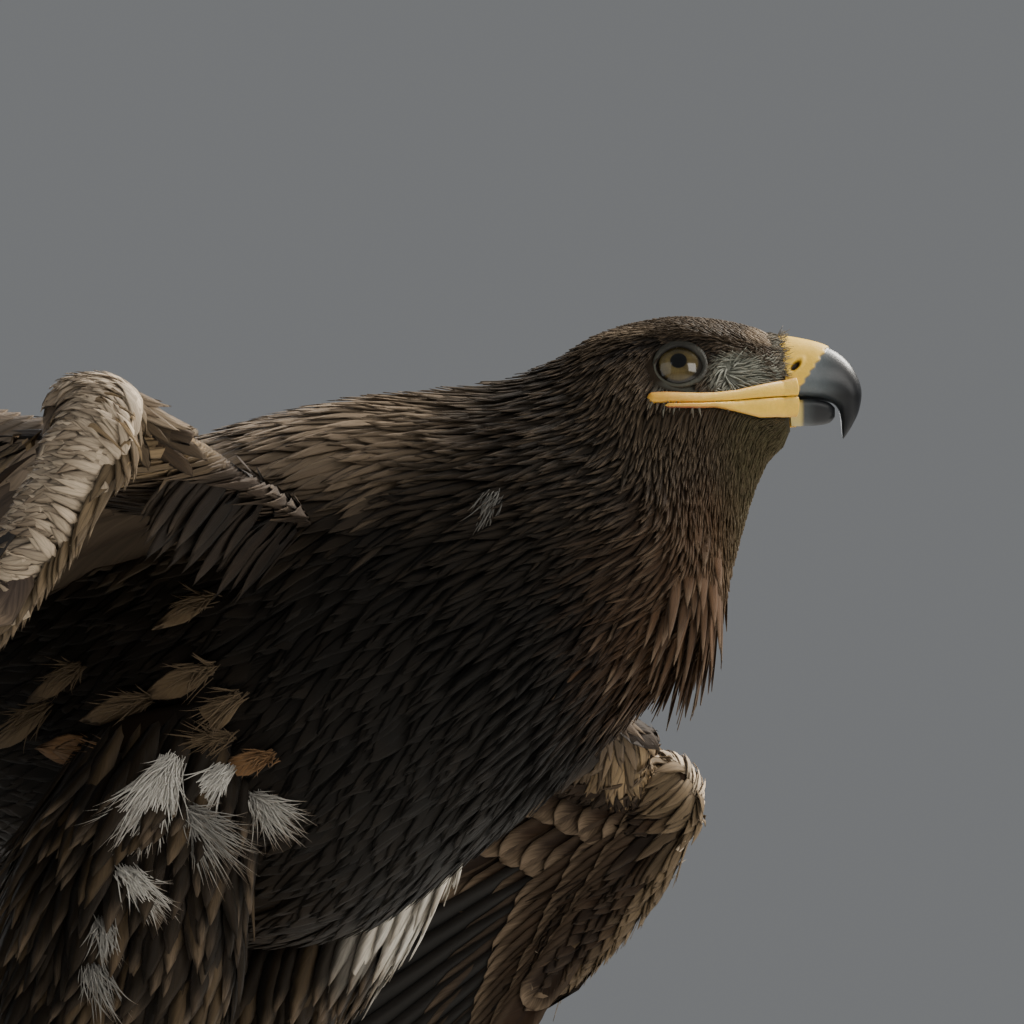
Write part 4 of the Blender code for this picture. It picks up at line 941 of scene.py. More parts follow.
def shades(name, count, spread=0.25):
    # the named colour, made lighter or darker at random for each feather
    return np.array(wingColours[name]) * rng.uniform(1 - spread, 1 + spread, (count, 1))


def wing(side):
    # flight feathers fanned over the sheet, rows along their shafts, then small feathers on the arm
    sheet, reach = wingSheet(side)
    dorsal, ventral, flesh = wingSurfaces(side)
    turn = wingShape["turn"][side]
    mirror = side == "right"
    nodes = ("wing_arm_" + side, "wing_hand_" + side)
    # flight feathers
    coat = Coat()
    count = wingShape["secondaries"]
    share = np.linspace(0.02, 0.90, count)
    a, b, angle, level = secondaryPlace(share, reach)
    mark = np.tile((0.35, 0.25, 1.0), (count, 1))
    quills(coat, sheet, a, b, angle + turn, 0.285 - 0.05 * share, 0.012, 0.018, level, 0.10, longVane,
           shades("quill", count), mark, side)
    count = wingShape["primaries"]
    number = np.arange(count)
    share = (number + 0.8) / count
    handAngle = wingShape["handAngle"] + turn
    alongHand = np.array((math.cos(handAngle), math.sin(handAngle)))
    acrossHand = np.array((math.sin(handAngle), -math.cos(handAngle)))
    root = alongHand * (handLength * share * 0.96)[:, None]
    length = 0.240 + 0.160 * np.sin(np.linspace(0.05, 1.0,
                                                count) * math.pi * 0.60) - handLength * share * 0.35
    quills(coat, sheet, root[:, 0], root[:, 1], np.radians(136 - 19.5 * share) + turn, length,
           0.010 - 0.004 * share, 0.020 - 0.002 * share, -0.0024 - layer * number,
           wingShape["primaryCurve"] - 1.5 * turn, longVane, shades("primary", count),
           np.tile((0.0, 0.15, 1.0), (count, 1)), side)
    # the thumb's feathers
    number = np.arange(3)
    root = alongHand * (0.016 + 0.010 * number)[:, None] + acrossHand * (0.011 - 0.003 * number)[:, None]
    quills(coat, sheet, root[:, 0], root[:, 1], np.full(3, handAngle), 0.080 + 0.014 * number, 0.008, 0.012,
           0.0080 - 0.0013 * number, 0.06, shortVane, shades("quill", 3), np.tile((0.2, 0.3, 1.0), (3, 1)),
           side)
    coat.build("flightFeathers_" + side, quillPaint, nodes)
    # rows of coverts that lie along the shafts of the flight feathers, above and below them
    coat = Coat()
    for low, back, size, colour, tip in wingRows:
        sign = -1 if low else 1
        share = np.linspace(0.0, 0.97, 12) + rng.uniform(-0.01, 0.01, 12)
        heading = np.radians(135 - 18 * share) + turn
        root = alongHand * (handLength * share)[:, None] + acrossHand * 0.004
        root = root + np.stack([np.cos(heading), np.sin(heading)], -1) * back
        level = -layer * 10 * share + (0.0032 if sign > 0 else -0.0042) + sign * (0.050 - back) * 0.05
        quills(coat, sheet, root[:, 0], root[:, 1], heading, size * rng.uniform(0.95, 1.05, 12), 0.009,
               0.010,
               level, 0.12, shortVane, shades(colour, 12, 0.35), np.tile((tip, 0.6, 1.0), (12, 1)), side,
               columns=7, stations=13, dip=sign * 0.004)
        share = np.linspace(0.0, 1.0, 17) + rng.uniform(-0.008, 0.008, 17)
        a, b, heading, level = secondaryPlace(share, reach)
        heading = heading + turn
        a, b = a + np.cos(heading) * back, b + np.sin(heading) * back
        level = level + sign * 0.0030 + sign * (0.050 - back) * 0.05 + 0.060 * back
        quills(coat, sheet, a, b, heading, size * rng.uniform(0.95, 1.05, 17), 0.010, 0.011, level, 0.08,
               shortVane, shades(colour, 17, 0.35), np.tile((tip, 0.6, 1.0), (17, 1)), side, columns=7,
               stations=13, dip=sign * 0.004)
    coat.build("wingRows_" + side, plumagePaint, nodes)
    # rows of coverts over and under the arm
    top = Coat()
    for surface, above in ((dorsal, True), (ventral, False)):
        s = np.arange(surface.last + 1.0)[:, None]
        fromBack = np.cumsum(np.linalg.norm(surface.byLength, axis=-1), axis=0)
        fromFront = fromBack[-1:] - fromBack
        length = np.clip(0.016 + 0.75 * fromFront, 0.016, 0.050)
        s, t = surface.places(length * 0.21, length * 0.12 + 0.0012, 0.30, rng)
        size = surface.read(length[..., None], s, t)[..., 0] * rng.uniform(0.9, 1.15, len(s))
        front = surface.read(fromFront[..., None], s, t)[..., 0]
        span = t / (surface.around - 1)
        points = surface.read(surface.rings, s, t)
        flipped = points * np.array((1, -1, 1)) if mirror else points
        keep = outsideBody(flipped, 0.004)
        s, t, size, front, span = s[keep], t[keep], size[keep], front[keep], span[keep]
        heading = np.radians(np.interp(span, (0, 0.45, 0.62, 0.75, 1.0), (165, 142, 132, 130, 116))) + turn
        direction = (np.cos(heading)[:, None] * sheet.arm + np.sin(heading)[:, None] * sheet.behind
                     - np.cos(heading)[:, None] * 0.066 * sheet.over)
        inner = 1 - smooth(span, 0.28, 0.46)
        tailwards = np.array((-0.78, 0.10, -0.58 if above else -0.35))
        if above:
            swept = smooth(span, 0.44, 0.56) * (1 - smooth(span, 0.80, 0.95)) * 0.65
            direction = blendOf(direction, np.array((-0.75, 0.66, -0.05)), swept[:, None])
        direction = unit(blendOf(direction, tailwards, inner[:, None]) + rng.normal(0, 0.05, (len(s), 3)))
        size = blendOf(size, 0.048 * rng.uniform(0.85, 1.15, len(s)), inner)
        rim = 1 - smooth(front, 0.004, 0.014)
        if above:
            chance = rng.random((len(s), 1))
            tint = blendOf(shades("quill", len(s)) * 4, shades("lesser", len(s)), smooth(chance, 0.1, 0.5))
            tint = blendOf(tint, shades("cream", len(s)), smooth(chance, 0.62, 0.80))
            tint = blendOf(tint, shades("rim", len(s)), (rim * 0.85 * smooth(span, 0.42, 0.52))[:, None])
            toWrist = smooth(span, 0.34, 0.42)[:, None]
            # by the body the coverts are the tertial brown darkened to 0.30: painted shade in the gap
            # between the wing and the body
            mantle = blendOf(shades("tertial", len(s)) * 0.30, shades("golden", len(s), 0.45), toWrist)
            tint = blendOf(tint, mantle, (1 - smooth(span, 0.42, 0.50))[:, None])
            loud = 1 - 0.9 * inner
        else:
            loud = 0.18
            rows = 0.5 + 0.5 * np.sin(front * 420.0)
            tint = blendOf(shades("underside", len(s), 0.4), shades("quill", len(s)), (rows * 0.4)[:, None])
            tint = blendOf(tint, shades("underRim", len(s)), (rim * smooth(span, 0.42, 0.52))[:, None])
            # by the body the underside is the tertial brown darkened to 0.25: painted shade between the
            # wing and the body
            tint = blendOf(tint, shades("tertial", len(s), 0.5) * 0.25, inner[:, None])
        mark = np.stack([rng.uniform(0.2, 1.0, len(s)) * loud, rng.uniform(0.2, 0.9, len(s)) * loud,
                         np.ones(len(s))], -1)
        droop = (sheet.over * -0.5)[None] * size[:, None]
        grow(top, surface, s, t, direction, size, size * 0.145 + 0.0007, "contour", np.full(len(s), 0.003),
             np.full(len(s), 0.0040), tint, mark, thickness=0.0003, cup=0.05, ragged=0.11,
             columns=5, limits=((0.0, surface.last), (0.0, surface.around - 1.0)), droop=droop,
             mirror=mirror)
    # the leading edge: outwards they come up over it from below, by the body they hang down over it
    around = Surface(flesh)
    count = 1500
    span = rng.uniform(0.0, 1.0, count)
    s = span * around.last
    hanging = span < 0.44
    t = np.where(hanging, rng.uniform(-1.0, 5.0, count), rng.uniform(-7.0, 1.0, count))
    points = around.read(around.rings, s, t)
    keep = outsideBody(points * np.array((1, -1, 1)) if mirror else points, 0.006)
    s, t, span, hanging = s[keep], t[keep], span[keep], hanging[keep]
    count = len(s)
    way = np.where(hanging[:, None], np.array((-0.45, 0.25, -0.85)), np.array((-0.50, 0.55, 0.65)))
    way = unit(way + rng.normal(0, 0.10, (count, 3)))
    size = np.where(hanging, 0.034, 0.017) * rng.uniform(0.8, 1.2, count)
    nearWrist = smooth(span, 0.26, 0.36)[:, None]
    # by the body the hanging feathers are the tertial brown darkened: painted shade between the wing and
    # the body; nearer the wrist they turn golden
    tint = np.where(hanging[:, None],
                    blendOf(shades("tertial", count) * 0.7, shades("golden", count, 0.4), nearWrist),
                    shades("rim", count, 0.35))
    mark = np.stack([rng.uniform(0, 0.5, count), rng.uniform(0, 0.4, count), np.full(count, 0.5)], -1)
    grow(top, around, s, t, way, size, size * np.where(hanging, 0.085, 0.15), "contour",
         np.full(count, 0.002),
         rng.uniform(0.001, 0.004, count), tint, mark, thickness=0.0003, cup=0.05, ragged=0.10, columns=5,
         mirror=mirror)
    top.build("wingCoat_" + side, plumagePaint, nodes)
    return flesh * np.array((1, -1 if mirror else 1, 1))


quillPaint = featherPaint("quillPaint",
                          {**featherLooks, "gloss": 0.35, "acrossLines": 16.0, "alongLines": 170.0,
                                         "roughness": 0.55, "barbDepth": 0.7, "bump": 0.3,
                                         "edgeColour": (0.040, 0.028, 0.019),
                                         "tipColour": (0.10, 0.07, 0.045),
                                         "tipFrom": (0.80, 0.99), "shaftColour": (0.045, 0.034, 0.025)})
wingFlesh = [wing(side) for side in ("right", "left")]


def scapulars(side):
    # a second sheet over the upper arm, with three rows of long mantle feathers
    sheet, reach = wingSheet(side)
    elbow = sheet.place(-reach, 0.0, 12 * layer)
    shoulder = np.array(wingShape["shoulder"][side])
    shoulder = shoulder + 0.20 * (elbow - shoulder) + np.array((0.0, 0.0, 0.006))
    humerus = elbow - shoulder
    inner, outer = np.array((-0.98, -0.15, -0.12)), np.array((-0.95, 0.04, -0.20))
    roof = Sheet(shoulder, humerus, inner + outer, 0.5)
    span = np.linalg.norm(humerus)
    coat = Coat()
    for row, (start, size, level, count) in enumerate((
            (0.010, 0.140, -0.0010, 9), (-0.004, 0.110, 0.0000, 11), (-0.014, 0.080, 0.0006, 13))):
        share = np.linspace(0.0, 1.0, count)
        heading = inner + (outer - inner) * share[:, None]
        slant = np.arctan2(heading @ roof.behind, heading @ roof.arm)
        slant = slant + rng.normal(0, 0.03, count)
        length = (size + (0.060 - 0.015 * row) * share) * rng.uniform(0.95, 1.05, count)
        half = 0.018 - 0.0024 * row
        mark = np.tile((0.8, 0.9, 1.0), (count, 1))
        quills(coat, roof, span * (0.02 + 0.90 * share), start, slant, length, half * 0.95, half,
               level - 0.0070 * share, 0.0, shortVane, shades("scapular", count, 0.3), mark, side,
               columns=7,
               stations=13, dip=0.012)
    coat.build("scapulars_" + side, plumagePaint, ("wing_arm_" + side, "torso"))


for side in ("right", "left"):
    scapulars(side)

print("tail")
tailShape = {"pitch": math.radians(13), "spread": math.radians(13), "length": 0.245, "rectrices": 12}


def tail():
    # the last ring of the body shrinks to the tail's root; the feathers fan out evenly on a sheet behind it
    end = flatRings(bodyShape["rows"], np.zeros(1), 96)[0]
    base = end.mean(0)
    heading = np.array((-math.cos(tailShape["pitch"]), 0.0, -math.sin(tailShape["pitch"])))
    share = np.linspace(0, 1, 24)[:, None, None]
    squeeze = 1 - 0.62 * smooth(share, 0.0, 1.0)
    scale = np.concatenate([squeeze, 1 + 0.15 * share, squeeze], axis=-1)
    rings = (end - base) * scale + base + heading * 0.052 * share
    sheet = Sheet(base, (0.0, -1.0, 0.0), heading, 0.25)
    coat = Coat()
    count = tailShape["rectrices"]
    half = (count - 1) / 2
    for number in range(count):
        place = number - half
        share = place / half
        depth = 2 * abs(place) + (0.5 if place > 0 else 0.0)
        ahead, behind = (0.013, 0.019) if abs(share) > 0.2 else (0.016, 0.017)
        mark = np.array(((0.9, 0.3, 1.0),))
        quills(coat, sheet, 0.020 * share, 0.030, math.pi / 2 - tailShape["spread"] * share,
               tailShape["length"] * (1 - 0.03 * abs(share)), ahead, behind, 0.0062 - 0.0011 * depth, 0.0,
               longVane,
               shades("quill", 1, 0.2), mark, "left", -1 if place < 0 else 1)
    for level, size, count, low in ((0.0088, 0.105, 9, 0.018), (0.0110, 0.075, 9, 0.006),
                                    (-0.0125, 0.105, 9, 0.018),
                                    (-0.0145, 0.075, 9, 0.006)):
        share = np.linspace(-1, 1, count)
        quills(coat, sheet, 0.020 * share, low, math.pi / 2 - tailShape["spread"] * share, size, 0.011,
               0.011,
               level - math.copysign(0.0018, level) * np.abs(share), 0.0, shortVane,
               shades("tertial" if level > 0 else "underBand", count), np.tile((0.8, 0.6, 1.0), (count, 1)),
               "left",
               stations=15, columns=7)
    coat.build("tailFeathers", quillPaint, ("tail",))
    root = Surface(rings)
    size = np.full(rings.shape[:2], 0.034)
    # the coverts' rows run from the rump out over the tail's root
    s, t = root.places(size * 0.3, size * 0.22, 0.3, rng)
    ahead = unit(root.read(root.byLength, s, t))
    count = len(s)
    coat = Coat()
    tint = np.array(plumageColours["rump"]) * rng.uniform(0.7, 1.3, (count, 1))
    mark = np.stack([rng.uniform(0.3, 0.9, count)] * 2 + [np.ones(count)], -1)
    grow(coat, root, s, t, ahead, np.full(count, 0.036), np.full(count, 0.008), "contour",
         np.full(count, 0.003),
         np.full(count, 0.004), tint, mark, thickness=0.0006, cup=0.1, ragged=0.02)
    coat.build("rumpCoat", plumagePaint, ("tail",))
    return rings


tailFlesh = tail()

print("legs")
legShape = {
    "ahead": {"right": 0.022, "left": 0.0}, "apart": 0.058,
    "thigh": {
        "right": ((-0.126, 0.310, 0.046, 0.034), (-0.137, 0.272, 0.054, 0.040),
                  (-0.147, 0.235, 0.055, 0.040),
                  (-0.153, 0.195, 0.053, 0.034), (-0.161, 0.160, 0.040, 0.026),
                  (-0.168, 0.130, 0.026, 0.019),
                  (-0.171, 0.106, 0.016, 0.0145)),
        "left": ((-0.108, 0.310, 0.046, 0.034), (-0.112, 0.272, 0.056, 0.040),
                 (-0.135, 0.235, 0.057, 0.040),
                 (-0.163, 0.195, 0.047, 0.032), (-0.182, 0.160, 0.034, 0.024),
                 (-0.191, 0.130, 0.023, 0.018),
                 (-0.193, 0.106, 0.016, 0.0145))},
    "shank": ((-0.193, 0.1100, 0.0145, 0.0130), (-0.179, 0.085, 0.0132, 0.0120),
              (-0.160, 0.058, 0.0128, 0.0120),
              (-0.140, 0.030, 0.0142, 0.0140)),
    "thighColour": (0.0140, 0.0092, 0.0045), "shankColour": (0.150, 0.100, 0.060),
    "paleColour": (0.66, 0.62, 0.54),
}


def legRings(rows, side, ahead, count, around):
    # level ovals down the leg: x leads and trails by the third number, y by the fourth
    rows = curveRows(rows, np.linspace(0, len(rows) - 1, count))
    turn = turnsOf(around)[None, :]
    along, height, fore, half = (rows[:, i:i + 1] for i in range(4))
    y = (-1 if side == "right" else 1) * legShape["apart"] + half * np.sin(turn)
    return np.stack([along + ahead + fore * np.cos(turn), y, height + 0.125 * fore * np.cos(turn)], axis=-1)


def leg(side):
    # long loose feathers down the thigh and short ones down the shank, both nearly straight down
    coat = Coat()
    thigh = Surface(legRings(legShape["thigh"][side], side, 0.0, 120, 72))
    shank = Surface(legRings(legShape["shank"], side, legShape["ahead"][side], 60, 48))
    for surface, upper in ((thigh, True), (shank, False)):
        down = np.linspace(0, 1, surface.last + 1)[:, None] * np.ones((1, surface.around))
        size = blendOf(0.040, 0.026, down) if upper else blendOf(0.016, 0.010, down)
        s, t = surface.places(size * (0.26 if upper else 0.30), size * (0.19 if upper else 0.20), 0.3, rng)
        points = surface.read(surface.rings, s, t)
        keep = outsideBody(points, 0.006)
        s, t, points = s[keep], t[keep], points[keep]
        count = len(s)
        normal = surface.read(surface.normals, s, t)
        lean = (-0.30, 0, -0.93) if upper else (0.10, 0, -0.95)
        direction = unit(np.array(lean) + 0.10 * normal + rng.normal(0, 0.06, (count, 3)))
        length = surface.read(size[..., None], s, t)[..., 0] * rng.uniform(0.85, 1.25, count)
        colour = legShape["thighColour"] if upper else legShape["shankColour"]
        tint = np.array(colour) * rng.uniform(0.7, 1.3, (count, 1))
        if upper:
            pale = smooth(normal[:, 0], 0.2, 0.8) * smooth(points[:, 2], 0.236, 0.254) * (side == "left")
            tint = blendOf(tint, np.array(legShape["paleColour"]), pale[:, None] * 0.9)
        buff = (rng.random(count) > 0.80)[:, None]
        tint = np.where(buff & upper, tint + np.array((0.050, 0.034, 0.018)), tint)
        mark = np.stack([rng.uniform(0.0, 0.8, count) ** 2, rng.uniform(0.0, 0.5, count),
                         np.full(count, 0.5)], -1)
        loose = 0.010 if upper else 0.0022
        grow(coat, surface, s, t, direction, length, length * (0.15 if upper else 0.13), "lancet",
             np.full(count, 0.003 if upper else 0.0015), loose * rng.uniform(0.3, 1.2, count) * np.where(
                 normal[:, 0] < 0.3, 1.0, 0.6), tint, mark, thickness=0.0005, cup=0.2, ragged=0.03)
    coat.build("legCoat_" + side, plumagePaint, ("thigh_" + side, "shank_" + side))
    return thigh.rings, shank.rings


legFlesh = [part for side in ("right", "left") for part in leg(side)]

fans = {
    "across": (0.891, 0.454, 0.0), "upward": (0.1137, -0.2231, 0.9681),
    "outward": (0.4395, -0.8626, -0.2504),
    "white": (  # start, middle turn from straight down, spread, length, strands, whiteness
        ((-0.1045, -0.0960, 0.2870), -28, 20, 0.046, 420, 1.0),
        ((-0.0890, -0.0805, 0.2850), -42, 17, 0.030, 240, 1.0),
        ((-0.1010, -0.0885, 0.2680), 40, 28, 0.036, 220, 0.45),
        ((-0.0820, -0.0665, 0.2755), 42, 32, 0.024, 220, 0.7),
        ((-0.1225, -0.0985, 0.2440), 38, 17, 0.026, 170, 0.9),
        ((-0.1320, -0.0985, 0.2250), 8, 18, 0.022, 90, 0.55),
        ((-0.1370, -0.0985, 0.2060), 14, 20, 0.024, 90, 0.45),
        ((0.0265, -0.0690, 0.3870), -24, 13, 0.019, 60, 0.22)),
    "colour": (0.66, 0.63, 0.57), "half": 0.00022,
}


def spread(coat, start, middle, width, length, count, tint, half, bend=0.35, thick=0.004, scatter=0.0022):
    # a fan of strands from nearly one place, in the plane that faces out of the flank
    across, upward, outward = (np.array(fans[name]) for name in ("across", "upward", "outward"))
    turn = np.radians(middle + width * rng.normal(0, 0.75, count))
    f = np.linspace(0, 1, 9)
    size = length * rng.uniform(0.25, 1.12, count) * np.exp(-(((turn - math.radians(middle)) / math.radians(
        width * 2.2)) ** 2))
    bent = turn[:, None] + bend * rng.normal(0.1, 1.0, (count, 1)) * f[None]
    x = runningSum(np.sin(bent), 8) * size[:, None]
    z = -runningSum(np.cos(bent), 8) * size[:, None]
    root = np.array(start) + rng.normal(0, scatter, (count, 1)) * across + rng.normal(0, scatter * 0.6,
                                                                                      (count, 1)) * upward
    rise = thick * rng.uniform(0.1, 1.0, (count, 1)) * np.sin(f * 2.4)[None]
    path = root[:, None] + x[..., None] * across + z[..., None] * upward + rise[..., None] * outward
    over = np.broadcast_to(outward, path.shape)
    rings, side = vaneRings(path, over, half * rng.uniform(0.6, 1.5, count), outlines["hair"], f, 2, 1,
                            0.0003,
                            0.0, 0.0, rng)
    mark = np.zeros((count, 3))
    mark[:, 0] = rng.uniform(0.4, 1.0, count)
    coat.add(rings, side, f, tint, mark, 0.5 + np.stack([root[:, 0], root[:, 2]], -1))


def down():
    # soft white tufts that show between the feathers of the flank, the thigh and the neck
    coat = Coat()
    for start, middle, width, length, count, white in fans["white"]:
        tint = np.array(fans["colour"]) * white * rng.uniform(0.75, 1.1, (count, 1))
        spread(coat, start, middle, width, length, count, tint, fans["half"])
    coat.build("down", facePaint, ("thigh_right", "torso"))


down()

looseFeathers = (  # place along the body, turn round it, way on the flank, length, half width, colour
    (4.02, 4.45, -69, 0.032, 0.0062, "buff"), (4.20, 4.32, -55, 0.036, 0.0068, "buff"),
    (3.47, 4.43, -74, 0.034, 0.0058, "buff"), (3.02, 4.30, -84, 0.034, 0.0072, "rufous"),
    (3.30, 4.24, -86, 0.042, 0.0085, "rufous"), (3.62, 4.16, -88, 0.046, 0.0085, "rufous"),
    (4.00, 4.22, -79, 0.036, 0.0058, "buff"), (3.78, 4.12, -66, 0.024, 0.0066, "rufous"),
    (4.28, 4.10, -64, 0.022, 0.0050, "rufous"), (4.12, 4.68, -70, 0.026, 0.0045, "buff"),
    (2.60, 4.50, -62, 0.036, 0.0050, "buff"), (2.95, 4.62, -66, 0.030, 0.0045, "buff"))
looseColours = {"buff": (0.200, 0.140, 0.080), "rufous": (0.300, 0.165, 0.075)}


def flank():
    # single feathers that lie loosely over the dark ones, with the wisps of their roots showing
    coat = Coat()
    across, upward = (np.array(fans[name]) for name in ("across", "upward"))
    for place, turn, way, length, half, colour in looseFeathers:
        s, t = np.array([place / lastRow * body.last]), np.array([turn / (2 * math.pi) * body.around])
        way = math.radians(way)
        direction = (math.sin(way) * across - math.cos(way) * upward)[None]
        tint = np.array([looseColours[colour]])
        grow(coat, body, s, t, direction, np.array([length]), np.array([half]), "contour",
             np.array([-0.0035]),
             np.array([0.0045]), tint, np.array(((0.3, 0.1, 0.6),)), columns=15, thickness=0.0003, cup=0.03,
             ragged=0.14)
        root = body.read(body.rings, s, t)[0] + body.read(body.normals, s, t)[0] * 0.005
        spread(coat, root, math.degrees(way), 30, length * 0.6, 60, np.tile(tint * 0.8, (60, 1)), 0.0003)
    coat.build("flankFeathers", plumagePaint, ("torso",))


flank()

print("head details")

def skinPaint(name, values):
    # colour from the tint attribute, mottled by two noises; its alpha sets how glossy it is
    paint = Paint(name, Specular_IOR_Level=values["gloss"], Subsurface_Weight=values.get("soft", 0.0),
                  Subsurface_Radius=(0.004, 0.0015, 0.0008), Subsurface_Scale=0.6,
                  Coat_Roughness=0.1)
    place = paint.place()
    tint = paint.attribute("tint")
    matt = tint.output(3)
    coarse = paint.noise(place, values["coarse"], 4.0, 0.6)
    fine = paint.noise(place, values["fine"], 3.0, 0.6)
    level = 1.0 + (coarse - 0.5) * values["mottle"] + (fine - 0.5) * values["mottle"] * 0.6
    colour = paint.shaded(tint, level)
    height = fine * 0.6 + coarse * 0.8
    if "scales" in values:
        cells = paint.node("ShaderNodeTexVoronoi", {"feature": "DISTANCE_TO_EDGE"},
                           {"Vector": place, "Scale": values["scales"]})
        crease = cells.between(0.0, 0.12)
        height = height + crease * 1.2
        colour = paint.shaded(colour, 0.45 + crease * 0.55, 0.8)
    normal = paint.node("ShaderNodeBump", {}, {"Strength": values["bump"], "Distance": values["deep"],
                                               "Height": height})
    rough = matt * values["rough"] + (fine - 0.5) * 0.15
    return paint.finish(Base_Color=colour, Roughness=rough, Normal=normal)


hornPaint = skinPaint("hornPaint",
                      {"gloss": 0.32, "coarse": 260.0, "fine": 1400.0, "mottle": 0.45, "bump": 0.25,
                                    "deep": 0.0003, "rough": 0.55})
barePaint = skinPaint("barePaint",
                      {"gloss": 0.45, "coarse": 420.0, "fine": 1800.0, "mottle": 0.30, "bump": 0.5,
                                    "deep": 0.0004, "rough": 0.45, "soft": 0.12})
lidPaint = skinPaint("lidPaint",
                     {"gloss": 0.35, "coarse": 700.0, "fine": 2600.0, "mottle": 0.5, "bump": 0.7,
                                  "deep": 0.0004, "rough": 0.6, "soft": 0.05})
footPaint = skinPaint("footPaint",
                      {"gloss": 0.4, "coarse": 300.0, "fine": 1500.0, "mottle": 0.35, "bump": 0.6,
                                    "deep": 0.0005, "rough": 0.5, "soft": 0.08, "scales": 420.0})
clawPaint = skinPaint("clawPaint",
                      {"gloss": 0.5, "coarse": 200.0, "fine": 900.0, "mottle": 0.4, "bump": 0.15,
                                    "deep": 0.0002, "rough": 0.30})

billShape = {
    "upper": ((0.1139, 0.4690, 0.1176, 0.4408, 0.0145, -0.46),
              (0.1227, 0.4675, 0.1218, 0.4418, 0.0127, -0.46),
              (0.1318, 0.4651, 0.1277, 0.4421, 0.0108, -0.44),
              (0.1394, 0.4610, 0.1330, 0.4414, 0.0090, -0.36),
              (0.1450, 0.4546, 0.1366, 0.4400, 0.0072, -0.25),
              (0.1482, 0.4460, 0.1386, 0.4372, 0.0054, -0.10),
              (0.1472, 0.4375, 0.1393, 0.4330, 0.0038, 0.00),
              (0.1440, 0.4306, 0.1396, 0.4290, 0.0024, 0.00),
              (0.1404, 0.4252, 0.1398, 0.4262, 0.0009, 0.00)),
    "lower": ((0.1177, 0.4402, 0.1189, 0.4312, 0.0116, 0.44),
              (0.1220, 0.4412, 0.1225, 0.4310, 0.0100, 0.44),
              (0.1290, 0.4414, 0.1290, 0.4311, 0.0080, 0.44),
              (0.1345, 0.4404, 0.1345, 0.4320, 0.0056, 0.30),
              (0.1370, 0.4384, 0.1370, 0.4345, 0.0026, 0.00)),
    "cere": (0.80, 0.50, 0.055), "hornBase": (0.105, 0.122, 0.130), "hornTip": (0.010, 0.011, 0.013),
    "lowerSkin": (0.55, 0.42, 0.13), "nostril": (0.1209, 0.4543), "nostrilSlant": math.radians(47),
    "nostrilHalf": (0.0032, 0.0014), "nostrilDepth": 0.0026, "pit": (0.012, 0.006, 0.004),
    "lip": (0.68, 0.37, 0.05), "lipUnder": (0.42, 0.13, 0.06),
}


def bill():
    # the upper half: its cere stands out a little and ends in a slanting edge, with a pit for each nostril
    flat = flatRings(billShape["upper"], np.linspace(0, 8, 260), 176)
    along, across, height = np.moveaxis(flat, -1, 0)
    border = 0.1258 + (height - 0.4503) * 0.66 + 0.0004 * np.sin(height * 1900)
    cere = 1 - smooth(along - border, -0.0006, 0.0008)
    dx, dh = along - billShape["nostril"][0], height - billShape["nostril"][1]
    slant = billShape["nostrilSlant"]
    far = np.hypot((dx * math.cos(slant) + dh * math.sin(slant)) / billShape["nostrilHalf"][0],
                   (dh * math.cos(slant) - dx * math.sin(slant)) / billShape["nostrilHalf"][1])
    pit = 1 - smooth(far, 0.55, 1.1)
    rim = np.exp(-(((far - 1.35) / 0.35) ** 2))
    side = np.sign(across) * np.minimum(np.abs(across) / 0.004, 1.0)
    across = across + side * (0.0006 * cere + 0.0003 * rim * cere - billShape["nostrilDepth"] * pit)
    height = height + 0.0005 * cere * smooth(height, 0.455, 0.464)
    flat = np.stack([along, across, height], -1)
    tone = smooth(along, 0.1270, 0.1430)[..., None] ** 0.8
    colour = blendOf(np.array(billShape["hornBase"]), np.array(billShape["hornTip"]), tone)
    # painted shade in a band just above the line of the mouth, where the upper bill meets the lips
    mouthShade = np.exp(-(((height - mouthHeight(along) - 0.001) / 0.0016) ** 2))[..., None]
    colour = colour * (1 - 0.35 * mouthShade)
    colour = blendOf(colour, np.array(billShape["cere"]), cere[..., None])
    colour = blendOf(colour, np.array(billShape["pit"]), pit[..., None])
    matt = blendOf(0.62, 1.0, cere)[..., None]
    closedGrid("billUpper", posed(flat), hornPaint, ("bill_upper",),
               np.concatenate([colour, matt], -1))
    flat = flatRings(billShape["lower"], np.linspace(0, 4, 120), 120)
    along = flat[..., 0:1]
    tone = smooth(along, 0.1222, 0.1246)
    colour = blendOf(np.array(billShape["lowerSkin"]), np.array(billShape["hornBase"]) * 0.45, tone)
    colour = blendOf(colour, np.array(billShape["hornTip"]), smooth(along, 0.1240, 0.1300))
    closedGrid("billLower", posed(flat), hornPaint, ("bill_lower",),
               np.concatenate([colour, np.full_like(along, 0.8)], -1))


headFrom = 330  # the ring of the body's table where the head starts
headGrid = [table[headFrom:].reshape(-1, 3) for table in (body.flat, body.rings, body.normals)]


def onCheek(along, height, sign):
    # the head's side at places of the drawing: a weighted mean of the table's entries round each place
    flat, points, normals = (table[headGrid[0][:, 1] * sign > 0.002] for table in headGrid)
    far = (flat[None, :, 0] - along[:, None]) ** 2 + (flat[None, :, 2] - height[:, None]) ** 2
    weight = np.exp(-far / 0.0006**2) + 1e-12
    weight = weight / weight.sum(1, keepdims=True)
    return weight @ points, unit(weight @ normals)


def tubeRings(line, radii, sides, flatten=1.0, upward=(0.0, 0.0, 1.0)):
    # rings round a line of points, each at right angles to it
    ahead = unit(np.gradient(line, axis=0))
    side = unit(np.cross(ahead, np.broadcast_to(upward, ahead.shape)))
    over = np.cross(side, ahead)
    turn = turnsOf(sides)[None, :, None]
    radii = np.asarray(radii)[:, None, None]
    spoke = np.cos(turn) * side[:, None] + flatten * np.sin(turn) * over[:, None]
    return line[:, None] + radii * spoke, turn


